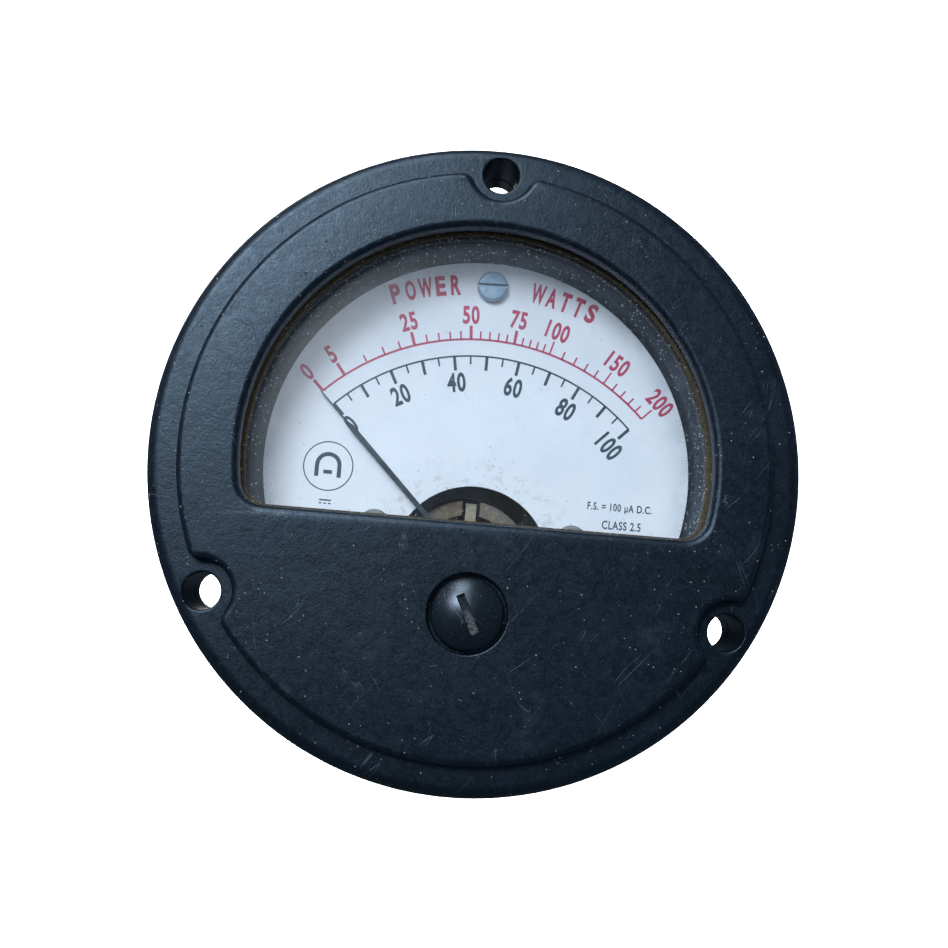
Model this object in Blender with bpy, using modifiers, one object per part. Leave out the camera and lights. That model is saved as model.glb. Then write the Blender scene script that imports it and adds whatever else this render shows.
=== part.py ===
"""Round panel meter with a moving-coil movement, flush mounting, modelled as its separate pieces.

The meter is drawn in its own face frame: x to the right, y up, z out of the panel towards the
reader, with the origin at the centre of the flange's back face.  One empty turns that frame
upright, so that the finished meter looks along -Y with +Z up.  Sizes are in metres.
"""
import math

import bmesh
import bpy
from mathutils import Matrix, Vector

MM = 0.001

# ---------------------------------------------------------------- clearances
GAP = 0.3 * MM            # between pieces of the case that rest on each other
SMALL_GAP = 0.1 * MM      # between small pieces of the movement that rest on each other
RUNNING_GAP = 0.08 * MM   # radial, where one piece turns in another
SCREW_GAP = 0.15 * MM     # radial, round a screw or a stud in its hole

# ---------------------------------------------------------------- case
FLANGE_RADIUS = 34.15 * MM
FLANGE_THICKNESS = 8.0 * MM        # panel face to the front of the outer ring
FACE_RISE = 1.6 * MM               # raised face above the outer ring
FACE_STEP = 3.5 * MM               # radial width of the outer ring round the raised face
FACE_WALL = 2.2 * MM
FACE_EDGE = 0.45 * MM
SHOULDER = 1.3 * MM                # rounding of the ring's outer edge
CASE_FLANGE = 2.3 * MM             # part of the flange that belongs to the rear case
BARREL_RADIUS = 27.7 * MM
BARREL_WALL = 3.3 * MM
BARREL_LENGTH = 25.0 * MM
BARREL_CHAMFER = 1.0 * MM
REAR_WALL = 3.0 * MM

MOUNT_INSET = 3.2 * MM             # mounting holes' centres inside the flange's edge
MOUNT_HOLE = 1.9 * MM
MOUNT_ANGLES = (90, 210, 330)
NOTCH_RADIUS = 3.2 * MM
COVER_SCREW_ANGLES = (30, 150, 270)
COVER_SCREW = 1.2 * MM
COVER_SCREW_HEAD = 2.3 * MM
COVER_SCREW_BITE = 3.6 * MM
CASE_SCREW_SLOT = 0.6 * MM         # width of the slots in the screws of the case
CASE_SCREW_SLOT_DEPTH = 0.5 * MM

# ---------------------------------------------------------------- window
WINDOW_RADIUS = 24.4 * MM
WINDOW_RISE = 0.25 * MM            # arc centre above the case axis
WINDOW_BASE = -6.4 * MM            # straight lower edge
WINDOW_CORNER = 2.6 * MM
GLASS_LAP = 1.2 * MM               # glass beyond the window's edge
GLASS_GAP = 0.15 * MM              # glass to the wall of the cover's cavity
GLASS_THICKNESS = 1.5 * MM
GASKET_THICKNESS = 0.5 * MM
GASKET_INSET = 0.25 * MM           # gasket seen inside the window's edge
CEMENT_WIDTH = 1.1 * MM
CEMENT_THICKNESS = 0.8 * MM

# ---------------------------------------------------------------- zero adjuster
ADJUSTER_DROP = 15.6 * MM          # adjuster axis below the case axis
ADJUSTER_HEAD = 3.7 * MM
ADJUSTER_HEAD_EDGE = 0.9 * MM
ADJUSTER_DOME = 1.5 * MM
ADJUSTER_RECESS = 1.1 * MM
ADJUSTER_RECESS_GAP = 0.35 * MM
ADJUSTER_SHANK = 1.6 * MM
ADJUSTER_BOSS = 3.7 * MM
ADJUSTER_BOSS_HEIGHT = 1.1 * MM
ADJUSTER_SLOT = (4.6 * MM, 0.8 * MM, 0.9 * MM)
ADJUSTER_SLOT_TURN = 25.0
ADJUSTER_THROW = 0.6 * MM          # eccentric pin from the adjuster's axis
ADJUSTER_PIN = 0.45 * MM
RING_CLIP = 2.7 * MM
RING_CLIP_THICKNESS = 0.5 * MM

# ---------------------------------------------------------------- movement
PIVOT_DROP = 10.5 * MM             # pointer axis below the case axis
POINTER_REST = 45.0                # degrees anticlockwise from upright
POINTER_REACH = 25.0 * MM
POINTER_TIP_START = 19.7 * MM
POINTER_TAPER = 0.8 * MM           # length over which the pointer narrows to its tip
POINTER_TIP_WIDTH = 0.2 * MM
POINTER_WIDTH = 0.6 * MM
POINTER_THICKNESS = 0.2 * MM
POINTER_TAIL = 5.3 * MM
POINTER_HUB = 1.3 * MM
WEIGHT_RADIUS = 0.9 * MM
WEIGHT_BORE = 0.45 * MM
WEIGHT_LENGTH = 1.24 * MM
WEIGHT_PLACE = 3.6 * MM
STAFF_RADIUS = 0.35 * MM
STAFF_FOOT = 1.2 * MM
STAFF_FOOT_THICKNESS = 0.3 * MM
STAFF_CONE = 0.6 * MM              # length of the staff's point
CORE_RADIUS = 4.0 * MM
CORE_LENGTH = 9.4 * MM
AIR_GAP = 0.3 * MM                 # core to former
FORMER_WALL = 0.3 * MM
FORMER_WIDTH = 3.0 * MM
WINDING_THICKNESS = 0.4 * MM
WINDING_WIDTH = 2.6 * MM
COIL_END_ROOM = 0.6 * MM
POLE_GAP = 0.5 * MM                # winding to the pole bore
POLE_TIP_WALL = 1.6 * MM
POLE_SLOT = 2.0 * MM               # between the two pole tips
POLE_REACH = 12.8 * MM
POLE_HALF_HEIGHT = 4.0 * MM
MAGNET_THICKNESS = 9.4 * MM
MAGNET_WIDTH = 5.1 * MM
MAGNET_ARCH_RISE = 0.5 * MM        # arch centre above the case axis
SUPPORT_WIDTH = 1.2 * MM
SUPPORT_REACH = 6.9 * MM
LEG_PLACE = 7.3 * MM               # legs of the bridges from the pointer axis
LEG_RADIUS = 0.7 * MM
BRIDGE_THICKNESS = 0.8 * MM
BRIDGE_HALF_WIDTH = 0.75 * MM
BRIDGE_HUB = 2.1 * MM
BRIDGE_SCREW = 0.35 * MM
BRIDGE_SCREW_HEAD_HEIGHT = 0.6 * MM
BRIDGE_SCREW_SLOT = 0.3 * MM
BRIDGE_SCREW_SLOT_DEPTH = 0.25 * MM
JEWEL_SCREW = 0.9 * MM
JEWEL_CUP = 0.5 * MM
JEWEL_NUT = 1.7 * MM
JEWEL_NUT_THICKNESS = 0.7 * MM
SPRING_INNER = 1.0 * MM
SPRING_OUTER = 3.3 * MM
SPRING_WIRE = 0.09 * MM
SPRING_TURNS = 3.5
SPRING_STUD = 0.3 * MM
SPRING_STUD_ANGLE = 155.0          # direction of the front spring's stud from the pointer axis
STOP_CIRCLE = 4.8 * MM
STOP_RADIUS = 0.35 * MM
STOP_EAR = 0.9 * MM                # radius of the bridge's ear round a stop pin
STOP_MARGIN = 6.5                  # degrees beyond each end of the scale
SCALE_SWEEP = 90.0
ARM_THICKNESS = 0.5 * MM
ARM_HUB = 1.7 * MM
ARM_HALF_WIDTH = 1.3 * MM
FRAME_INSET = 1.4 * MM             # frame plate inside the barrel's bore
FRAME_THICKNESS = 1.5 * MM
FRAME_OPENING = 8.3 * MM
FRAME_SCREW = 1.1 * MM
FRAME_SCREW_HEAD = 2.3 * MM
FRAME_SCREW_HEAD_HEIGHT = 1.2 * MM
FRAME_SCREW_INSET = 2.0 * MM       # screw centres inside the frame plate's edge
FRAME_SCREW_ANGLES = (30, 150, 270)
POLE_SCREW = 0.8 * MM
POLE_SCREW_HEAD = 1.6 * MM
POLE_SCREW_HEAD_HEIGHT = 1.0 * MM
POLE_SCREW_BITE = 4.0 * MM
POLE_SCREW_SLOT = 0.5 * MM
LEAD_RADIUS = 0.5 * MM
LEAD_EAR_WIDTH = 1.6 * MM
LEAD_EAR_REACH = 3.6 * MM

# ---------------------------------------------------------------- dial
DIAL_FRONT = 1.0 * MM
DIAL_THICKNESS = 0.5 * MM
DIAL_INSET = 0.9 * MM              # dial inside the barrel's bore
DIAL_BASE = -11.5 * MM
DIAL_SHIFT = 0.3 * MM              # the dial sits this far to the right in its slack screw holes
DIAL_OPENING = 8.6 * MM
DIAL_SCREW_HEAD = 1.7 * MM
DIAL_SCREW_HEAD_THICKNESS = 0.9 * MM
DIAL_SCREW = 0.7 * MM
DIAL_SCREW_BITE = 1.2 * MM
DIAL_SCREW_SLOT = 0.5 * MM
DIAL_SCREW_SLOT_DEPTH = 0.4 * MM
DIAL_SCREW_INSET = 2.8 * MM        # top screw's centre inside the dial's edge
DIAL_SCREW_LOW = (10.8 * MM, -7.0 * MM)
PILLAR_RADIUS = 1.3 * MM
PILLAR_BORE_DEPTH = 2.5 * MM
POINTER_LIFT = 0.6 * MM            # pointer above the dial

# ---------------------------------------------------------------- terminals
STUD_SPACING = 25.4 * MM
STUD_DROP = 2.0 * MM
STUD_RADIUS = 2.0 * MM
STUD_LENGTH = 13.0 * MM            # outside the case
STUD_HEAD = 3.4 * MM               # half the side of the square head
STUD_HEAD_THICKNESS = 1.7 * MM
LUG_RING = 3.6 * MM
LUG_THICKNESS = 0.5 * MM
LUG_TAIL = 7.5 * MM
LUG_TAIL_HALF_WIDTH = 1.3 * MM
LUG_JOINT = 1.5 * MM               # soldered joint's distance from the tail's end
NUT_FLATS = 7.9 * MM
NUT_THICKNESS = 2.8 * MM
WASHER_RADIUS = 4.3 * MM
WASHER_THICKNESS = 0.7 * MM
LOCK_WASHER_RADIUS = 3.6 * MM
LOCK_WASHER_THICKNESS = 0.9 * MM

# ---------------------------------------------------------------- sizes across, worked out
FACE_RADIUS = FLANGE_RADIUS - FACE_STEP
MOUNT_CIRCLE = FLANGE_RADIUS - MOUNT_INSET
CAVITY_RADIUS = WINDOW_RADIUS + WINDOW_RISE + GLASS_LAP + GLASS_GAP
BARREL_BORE = BARREL_RADIUS - BARREL_WALL
FRAME_RADIUS = BARREL_BORE - FRAME_INSET
FRAME_SCREW_CIRCLE = FRAME_RADIUS - FRAME_SCREW_INSET
DIAL_RADIUS = BARREL_BORE - DIAL_INSET
DIAL_SCREW_TOP = DIAL_RADIUS - DIAL_SCREW_INSET

# ---------------------------------------------------------------- levels along z
RING_FRONT = FLANGE_THICKNESS
FACE_FRONT = RING_FRONT + FACE_RISE
FACE_BACK = FACE_FRONT - FACE_WALL
COVER_BACK = CASE_FLANGE + GAP
REAR_INNER = REAR_WALL - BARREL_LENGTH
REAR_OUTER = -BARREL_LENGTH
GASKET_FRONT = FACE_BACK - SMALL_GAP
GLASS_FRONT = GASKET_FRONT - GASKET_THICKNESS - SMALL_GAP
GLASS_BACK = GLASS_FRONT - GLASS_THICKNESS
CEMENT_FRONT = GLASS_BACK - SMALL_GAP
RECESS_FLOOR = FACE_FRONT - ADJUSTER_RECESS
BOSS_BACK = FACE_BACK - ADJUSTER_BOSS_HEIGHT
CLIP_FRONT = BOSS_BACK - SMALL_GAP
CLIP_BACK = CLIP_FRONT - RING_CLIP_THICKNESS
SHANK_BACK = CLIP_BACK - SMALL_GAP
DIAL_BACK = DIAL_FRONT - DIAL_THICKNESS
POINTER_BACK = DIAL_FRONT + POINTER_LIFT
POINTER_FRONT = POINTER_BACK + POINTER_THICKNESS
POINTER_MID = (POINTER_FRONT + POINTER_BACK) / 2
SPRING_FRONT_LEVEL = POINTER_MID + WEIGHT_RADIUS + SPRING_WIRE + SMALL_GAP
BRIDGE_BACK = SPRING_FRONT_LEVEL + SPRING_WIRE + GAP
BRIDGE_FRONT = BRIDGE_BACK + BRIDGE_THICKNESS
ARM_BACK = BRIDGE_FRONT + BRIDGE_SCREW_HEAD_HEIGHT + 2 * SMALL_GAP
ARM_FRONT = ARM_BACK + ARM_THICKNESS
CORE_FRONT = -1.8 * MM
CORE_BACK = CORE_FRONT - CORE_LENGTH
FORMER_FRONT = CORE_FRONT + COIL_END_ROOM + FORMER_WALL
FORMER_BACK = CORE_BACK - COIL_END_ROOM - FORMER_WALL
WINDING_FRONT = FORMER_FRONT + SMALL_GAP + WINDING_THICKNESS
WINDING_BACK = FORMER_BACK - SMALL_GAP - WINDING_THICKNESS
POLE_FRONT = CORE_FRONT + GAP
POLE_BACK = CORE_BACK - GAP
MAGNET_FRONT = (POLE_FRONT + POLE_BACK + MAGNET_THICKNESS) / 2
MAGNET_BACK = MAGNET_FRONT - MAGNET_THICKNESS
FRAME_FRONT = min(POLE_BACK, MAGNET_BACK) - GAP
FRAME_BACK = FRAME_FRONT - FRAME_THICKNESS
REAR_SPRING_LEVEL = min(WINDING_BACK - STAFF_FOOT_THICKNESS, FRAME_BACK) - GAP - SPRING_WIRE
REAR_BRIDGE_FRONT = REAR_SPRING_LEVEL - SPRING_WIRE - 2 * GAP
REAR_BRIDGE_BACK = REAR_BRIDGE_FRONT - BRIDGE_THICKNESS
LUG_BACK = REAR_INNER + SMALL_GAP
LUG_FRONT = LUG_BACK + LUG_THICKNESS
STUD_HEAD_BACK = LUG_FRONT + SMALL_GAP
STUD_HEAD_FRONT = STUD_HEAD_BACK + STUD_HEAD_THICKNESS
STUD_END = REAR_OUTER - STUD_LENGTH

FORMER_INNER = CORE_RADIUS + AIR_GAP
FORMER_OUTER = FORMER_INNER + FORMER_WALL
WINDING_INNER = FORMER_OUTER + SMALL_GAP
WINDING_OUTER = WINDING_INNER + WINDING_THICKNESS
POLE_BORE = WINDING_OUTER + POLE_GAP
POLE_TIP = POLE_BORE + POLE_TIP_WALL
MAGNET_INNER = POLE_REACH + GAP
MAGNET_OUTER = MAGNET_INNER + MAGNET_WIDTH
MAGNET_FOOT = -PIVOT_DROP - POLE_HALF_HEIGHT

THREE_SIDES = ("right", "left", "bottom")
PIECES = "panel_meter"
CUTTERS = "panel_meter_cutters"
ROUND = 48                # facets of the case
SMALL_ROUND = 16          # facets of screws, posts and staffs


# ================================================================= tools of the model
def clear_scene():
    """Remove whatever objects the file opens with."""
    for thing in list(bpy.data.objects):
        bpy.data.objects.remove(thing, do_unlink=True)


def new_collection(name):
    """Make a collection in the scene."""
    collection = bpy.data.collections.new(name)
    bpy.context.scene.collection.children.link(collection)
    return collection


def new_empty(name, place=(0, 0, 0), turn=(0, 0, 0), parent=None):
    """Make an empty that places the pieces parented to it."""
    empty = bpy.data.objects.new(name, None)
    empty.location = place
    empty.rotation_euler = turn
    empty.empty_display_size = 5 * MM
    empty.parent = parent
    bpy.data.collections[PIECES].objects.link(empty)
    return empty


def finish_material(name, colour, roughness, metallic):
    """Make a plain material."""
    material = bpy.data.materials.new(name)
    material.use_nodes = True
    shader = material.node_tree.nodes["Principled BSDF"]
    shader.inputs["Base Color"].default_value = (*colour, 1)
    shader.inputs["Roughness"].default_value = roughness
    shader.inputs["Metallic"].default_value = metallic
    return material


def place_mesh(name, mesh, parent, finish, place=(0, 0, 0), turn=0.0):
    """Make an object of a mesh, turned about z by `turn` degrees and put at `place`."""
    piece = bpy.data.objects.new(name, mesh)
    piece.location = place
    piece.rotation_euler = (0, 0, math.radians(turn))
    piece.parent = parent
    if finish is None:
        bpy.data.collections[CUTTERS].objects.link(piece)
        piece.hide_render = True
        piece.display_type = 'WIRE'
    else:
        bpy.data.collections[PIECES].objects.link(piece)
        mesh.materials.clear()
        mesh.materials.append(MATERIALS[finish])
        mesh.shade_smooth()
        mesh.set_sharp_from_angle(angle=math.radians(35))
    return piece


def place_copies(name, sides, mesh, parent, finish, spots):
    """Put a copy of a mesh at each spot, one object each, named for its side."""
    for side, (x, y) in zip(sides, spots):
        place_mesh(f"{name}_{side}", mesh, parent, finish, (x, y, 0))


def bmesh_to_mesh(name, shape):
    """Store a bmesh as a mesh and free it."""
    mesh = bpy.data.meshes.new(name)
    shape.to_mesh(mesh)
    shape.free()
    return mesh


def box_mesh(name, size, centre):
    """Box of a size, round a centre."""
    shape = bmesh.new()
    bmesh.ops.create_cube(shape, size=1.0)
    bmesh.ops.scale(shape, verts=shape.verts, vec=size)
    bmesh.ops.translate(shape, verts=shape.verts, vec=centre)
    return bmesh_to_mesh(name, shape)


def add_rod(shape, radius, low, high, x=0.0, y=0.0, sides=SMALL_ROUND):
    """Add an upright rod between two levels."""
    placing = Matrix.Translation((x, y, (low + high) / 2))
    bmesh.ops.create_cone(shape, cap_ends=True, segments=sides, radius1=radius, radius2=radius,
                          depth=high - low, matrix=placing)


def rod_mesh(name, radius, low, high, spots=((0, 0),), sides=SMALL_ROUND):
    """One rod at each spot, all between the same two levels."""
    shape = bmesh.new()
    for x, y in spots:
        add_rod(shape, radius, low, high, x, y, sides)
    return bmesh_to_mesh(name, shape)


def turned_mesh(name, profile, steps=SMALL_ROUND):
    """Turn a profile of (radius, level) points about z.

    The profile runs down its outer side; its first and last points lie on the axis or coincide.
    """
    closed = profile[0] == profile[-1]
    points = profile[:-1] if closed else profile
    outline = bpy.data.meshes.new(name + "_profile")
    edges = [(i, i + 1) for i in range(len(points) - 1)]
    if closed:
        edges.append((len(points) - 1, 0))
    outline.from_pydata([(radius, 0, level) for radius, level in points], edges, [])
    blank = bpy.data.objects.new(name + "_blank", outline)
    bpy.context.scene.collection.objects.link(blank)
    screw = blank.modifiers.new("turn", 'SCREW')
    screw.axis = 'Z'
    screw.angle = math.tau
    screw.steps = steps
    screw.render_steps = steps
    screw.use_merge_vertices = True
    screw.merge_threshold = 0.00001
    return finished_mesh(name, blank)


def finished_mesh(name, blank):
    """Mesh of a blank with its modifiers, or of a curve with its caps welded; the blank goes."""
    bpy.context.view_layer.update()
    graph = bpy.context.evaluated_depsgraph_get()
    mesh = bpy.data.meshes.new_from_object(blank.evaluated_get(graph))
    shape = bmesh.new()
    shape.from_mesh(mesh)
    bmesh.ops.remove_doubles(shape, verts=shape.verts, dist=0.000002)
    shape.to_mesh(mesh)
    shape.free()
    mesh.name = name
    bpy.data.objects.remove(blank)
    return mesh


def screw_blade(head, width, depth):
    """Size of the blade that cuts a slot of a width and depth right across a head of some radius."""
    return 2 * head + GAP, width, 2 * depth


def slotted(name, mesh, size, centre):
    """Cut a screwdriver slot of a size, at a centre, into a mesh."""
    blank = bpy.data.objects.new(name + "_blank", mesh)
    blade = bpy.data.objects.new(name + "_blade", box_mesh(name + "_blade", size, centre))
    for thing in (blank, blade):
        bpy.context.scene.collection.objects.link(thing)
    boolean = blank.modifiers.new("slot", 'BOOLEAN')
    boolean.operation = 'DIFFERENCE'
    boolean.solver = 'EXACT'
    boolean.object = blade
    mesh = finished_mesh(name, blank)
    bpy.data.objects.remove(blade)
    return mesh


def plate_mesh(name, outlines, low, high):
    """Flat plate between two levels, filled inside its first outline and open inside the others."""
    curve = bpy.data.curves.new(name + "_outline", 'CURVE')
    curve.dimensions = '2D'
    curve.fill_mode = 'BOTH'
    curve.extrude = (high - low) / 2
    for points in outlines:
        spline = curve.splines.new('POLY')
        spline.points.add(len(points) - 1)
        for point, (x, y) in zip(spline.points, points):
            point.co = (x, y, 0, 1)
        spline.use_cyclic_u = True
    blank = bpy.data.objects.new(name + "_blank", curve)
    bpy.context.scene.collection.objects.link(blank)
    mesh = finished_mesh(name, blank)
    bpy.data.curves.remove(curve)
    mesh.transform(Matrix.Translation((0, 0, (low + high) / 2)))
    return mesh


def wire_mesh(name, curve):
    """Mesh of a bevelled curve."""
    blank = bpy.data.objects.new(name + "_blank", curve)
    bpy.context.scene.collection.objects.link(blank)
    mesh = finished_mesh(name, blank)
    bpy.data.curves.remove(curve)
    return mesh


def moved(mesh, x=0.0, y=0.0, z=0.0, turn=0.0):
    """Turn a mesh about z by degrees, then move it."""
    mesh.transform(Matrix.Translation((x, y, z)) @ Matrix.Rotation(math.radians(turn), 4, 'Z'))
    return mesh


def cut(piece, name, mesh, turn=0.0, place=(0, 0, 0)):
    """Cut a mesh out of a piece."""
    apply_tool(piece, name, mesh, 'DIFFERENCE', turn, place)


def join(piece, name, mesh, turn=0.0, place=(0, 0, 0)):
    """Join a mesh to a piece."""
    apply_tool(piece, name, mesh, 'UNION', turn, place)


def apply_tool(piece, name, mesh, operation, turn, place):
    """Add a Boolean of a mesh, placed in the piece's own parent frame."""
    tool = place_mesh(name, mesh, piece.parent, None, place, turn)
    boolean = piece.modifiers.new(name, 'BOOLEAN')
    boolean.operation = operation
    boolean.solver = 'EXACT'
    boolean.object = tool


def arc(radius, start, end, count, x=0.0, y=0.0):
    """Points along an arc, anticlockwise from start to end when end is larger, in degrees."""
    angles = [math.radians(start + (end - start) * i / (count - 1)) for i in range(count)]
    return [(x + radius * math.cos(a), y + radius * math.sin(a)) for a in angles]


def circle(radius, count=SMALL_ROUND, x=0.0, y=0.0):
    """Closed ring of points."""
    return arc(radius, 0, 360 * (count - 1) / count, count, x, y)


def on_circle(radius, angles, x=0.0, y=0.0):
    """Points on a circle at given angles in degrees."""
    return [(x + radius * math.cos(math.radians(a)), y + radius * math.sin(math.radians(a))) for a in angles]


def rounded(radius, level, size, first, count=4):
    """Quarter round of a turned profile, from angle `first` clockwise, about its own centre."""
    return arc(size, first, first - 90, count, radius, level)


def window_outline(margin):
    """Outline of the window, or of something larger than it by a margin on every side."""
    radius = WINDOW_RADIUS + margin
    base = WINDOW_BASE - margin
    corner = WINDOW_CORNER + margin
    height = base + corner - WINDOW_RISE
    across = math.sqrt((radius - corner) ** 2 - height ** 2)
    lean = math.degrees(math.atan2(height, across))
    points = arc(radius, lean, 180 - lean, 37, 0, WINDOW_RISE)
    points += arc(corner, 180 - lean, 270, 6, -across, base + corner)[1:]
    points += arc(corner, -90, lean, 6, across, base + corner)[:-1]
    return points


def sized_hexagon(flats):
    """Hexagon of a size across its flats."""
    return circle(flats / math.sqrt(3), 6)


# ================================================================= materials
def make_materials():
    """One material for each finish."""
    finishes = {
        "bakelite": ((0.012, 0.017, 0.028), 0.38, 0.0),
        "glass": ((0.92, 0.96, 1.0), 0.05, 0.0),
        "cork": ((0.16, 0.12, 0.05), 0.9, 0.0),
        "cement": ((0.20, 0.15, 0.06), 0.8, 0.0),
        "dial_white": ((0.80, 0.84, 0.90), 0.5, 0.0),
        "blued_steel": ((0.03, 0.045, 0.07), 0.35, 0.8),
        "steel": ((0.42, 0.43, 0.44), 0.35, 1.0),
        "dull_steel": ((0.20, 0.23, 0.26), 0.5, 0.8),
        "brass": ((0.72, 0.52, 0.22), 0.35, 1.0),
        "aluminium": ((0.72, 0.73, 0.75), 0.4, 1.0),
        "copper": ((0.62, 0.26, 0.12), 0.35, 1.0),
        "bronze": ((0.55, 0.33, 0.14), 0.3, 1.0),
        "magnet_alloy": ((0.23, 0.23, 0.24), 0.6, 0.9),
        "tin": ((0.62, 0.62, 0.60), 0.3, 1.0),
        "red_insulation": ((0.45, 0.03, 0.02), 0.5, 0.0),
        "black_insulation": ((0.02, 0.02, 0.02), 0.5, 0.0),
    }
    return {name: finish_material(name, *values) for name, values in finishes.items()}


# ================================================================= case
def build_front_cover(parent):
    """Front cover: outer ring, raised face, window, adjuster bore, mounting holes."""
    profile = [(0, FACE_FRONT)]
    profile += rounded(FACE_RADIUS - FACE_EDGE, FACE_FRONT - FACE_EDGE, FACE_EDGE, 90, 3)
    profile += [(FACE_RADIUS, RING_FRONT)]
    profile += rounded(FLANGE_RADIUS - SHOULDER, RING_FRONT - SHOULDER, SHOULDER, 90)
    profile += [(FLANGE_RADIUS, COVER_BACK), (CAVITY_RADIUS, COVER_BACK)]
    profile += [(CAVITY_RADIUS, FACE_BACK), (0, FACE_BACK)]
    cover = place_mesh("front_cover", turned_mesh("front_cover", profile, ROUND), parent, "bakelite")

    axis = [(0, -ADJUSTER_DROP)]
    boss = rod_mesh("adjuster_boss", ADJUSTER_BOSS, BOSS_BACK, FACE_BACK + FACE_WALL / 3, axis, 24)
    join(cover, "adjuster_boss", boss)
    cut(cover, "window_cut", plate_mesh("window_cut", [window_outline(0)], COVER_BACK, FACE_FRONT + GAP))
    spots = on_circle(MOUNT_CIRCLE, MOUNT_ANGLES)
    cut(cover, "notch_cuts", rod_mesh("notch_cuts", NOTCH_RADIUS, RING_FRONT, FACE_FRONT + GAP, spots, 24))
    cut(cover, "cover_mount_holes", rod_mesh("cover_mount_holes", MOUNT_HOLE, 0, FACE_FRONT, spots))
    recess = rod_mesh("adjuster_recess", ADJUSTER_HEAD + ADJUSTER_RECESS_GAP, RECESS_FLOOR,
                      FACE_FRONT + GAP, axis, 32)
    cut(cover, "adjuster_recess", recess)
    bore = rod_mesh("adjuster_bore", ADJUSTER_SHANK + RUNNING_GAP, COVER_BACK, FACE_FRONT, axis, 24)
    cut(cover, "adjuster_bore", bore)
    pilots = rod_mesh("pilot_holes", COVER_SCREW + SCREW_GAP, 0, COVER_BACK + COVER_SCREW_BITE + GAP,
                      on_circle(MOUNT_CIRCLE, COVER_SCREW_ANGLES))
    cut(cover, "pilot_holes", pilots)


def build_rear_case(parent):
    """Rear case: back half of the flange, barrel, rear wall, bosses for the movement."""
    profile = [(0, REAR_INNER), (BARREL_BORE, REAR_INNER), (BARREL_BORE, CASE_FLANGE)]
    profile += [(FLANGE_RADIUS, CASE_FLANGE), (FLANGE_RADIUS, 0), (BARREL_RADIUS, 0)]
    profile += [(BARREL_RADIUS, REAR_OUTER + BARREL_CHAMFER)]
    profile += [(BARREL_RADIUS - BARREL_CHAMFER, REAR_OUTER), (0, REAR_OUTER)]
    case = place_mesh("rear_case", turned_mesh("rear_case", profile, ROUND), parent, "bakelite")

    frame_spots = on_circle(FRAME_SCREW_CIRCLE, FRAME_SCREW_ANGLES)
    bosses = rod_mesh("frame_bosses", FRAME_SCREW_HEAD + GAP, REAR_INNER - REAR_WALL / 3,
                      FRAME_BACK - GAP, frame_spots)
    join(case, "frame_bosses", bosses)
    holes = rod_mesh("case_mount_holes", MOUNT_HOLE, -GAP, COVER_BACK, on_circle(MOUNT_CIRCLE, MOUNT_ANGLES))
    cut(case, "case_mount_holes", holes)
    for side, (x, y) in zip(THREE_SIDES, on_circle(MOUNT_CIRCLE, COVER_SCREW_ANGLES)):
        hole = turned_mesh("cover_screw_hole", cover_screw_profile(SCREW_GAP, COVER_BACK, -GAP))
        cut(case, f"cover_screw_hole_{side}", hole, place=(x, y, 0))
    shank_holes = rod_mesh("frame_screw_holes", FRAME_SCREW + SCREW_GAP, REAR_OUTER - GAP, FRAME_BACK,
                           frame_spots)
    cut(case, "frame_screw_holes", shank_holes)
    seats = rod_mesh("frame_screw_seats", FRAME_SCREW_HEAD + SCREW_GAP, REAR_OUTER - GAP,
                     REAR_OUTER + REAR_WALL / 2, frame_spots)
    cut(case, "frame_screw_seats", seats)
    stud_holes = rod_mesh("stud_holes", STUD_RADIUS + SCREW_GAP, REAR_OUTER - GAP, REAR_INNER + GAP,
                          stud_spots())
    cut(case, "stud_holes", stud_holes)


def cover_screw_profile(extra, tip, mouth):
    """Profile of a countersunk cover screw, or of its hole when larger by `extra` and open below."""
    head, shank = COVER_SCREW_HEAD + extra, COVER_SCREW + extra
    profile = [(0, tip), (shank, tip), (shank, head - shank), (head, 0)]
    if mouth < 0:
        profile += [(head, mouth)]
    return profile + [(0, mouth)]


def build_cover_screws(parent):
    """Three countersunk screws, their heads just below the flange's back face."""
    mesh = turned_mesh("cover_screw", cover_screw_profile(0, COVER_BACK + COVER_SCREW_BITE, 0))
    blade = screw_blade(COVER_SCREW_HEAD, CASE_SCREW_SLOT, CASE_SCREW_SLOT_DEPTH)
    mesh = slotted("cover_screw", mesh, blade, (0, 0, 0))
    mesh = moved(mesh, z=SMALL_GAP)
    place_copies("cover_screw", THREE_SIDES, mesh, parent, "dull_steel",
                 on_circle(MOUNT_CIRCLE, COVER_SCREW_ANGLES))


def build_window(parent):
    """Gasket, glass and the cement that holds the glass in the cover."""
    gasket = plate_mesh("glass_gasket", [window_outline(GLASS_LAP), window_outline(-GASKET_INSET)],
                        GASKET_FRONT - GASKET_THICKNESS, GASKET_FRONT)
    place_mesh("glass_gasket", gasket, parent, "cork")
    glass = plate_mesh("window_glass", [window_outline(GLASS_LAP)], GLASS_BACK, GLASS_FRONT)
    place_mesh("window_glass", glass, parent, "glass")
    cement = plate_mesh("glass_cement", [window_outline(GLASS_LAP), window_outline(GLASS_LAP - CEMENT_WIDTH)],
                        CEMENT_FRONT - CEMENT_THICKNESS, CEMENT_FRONT)
    place_mesh("glass_cement", cement, parent, "cement")


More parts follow.
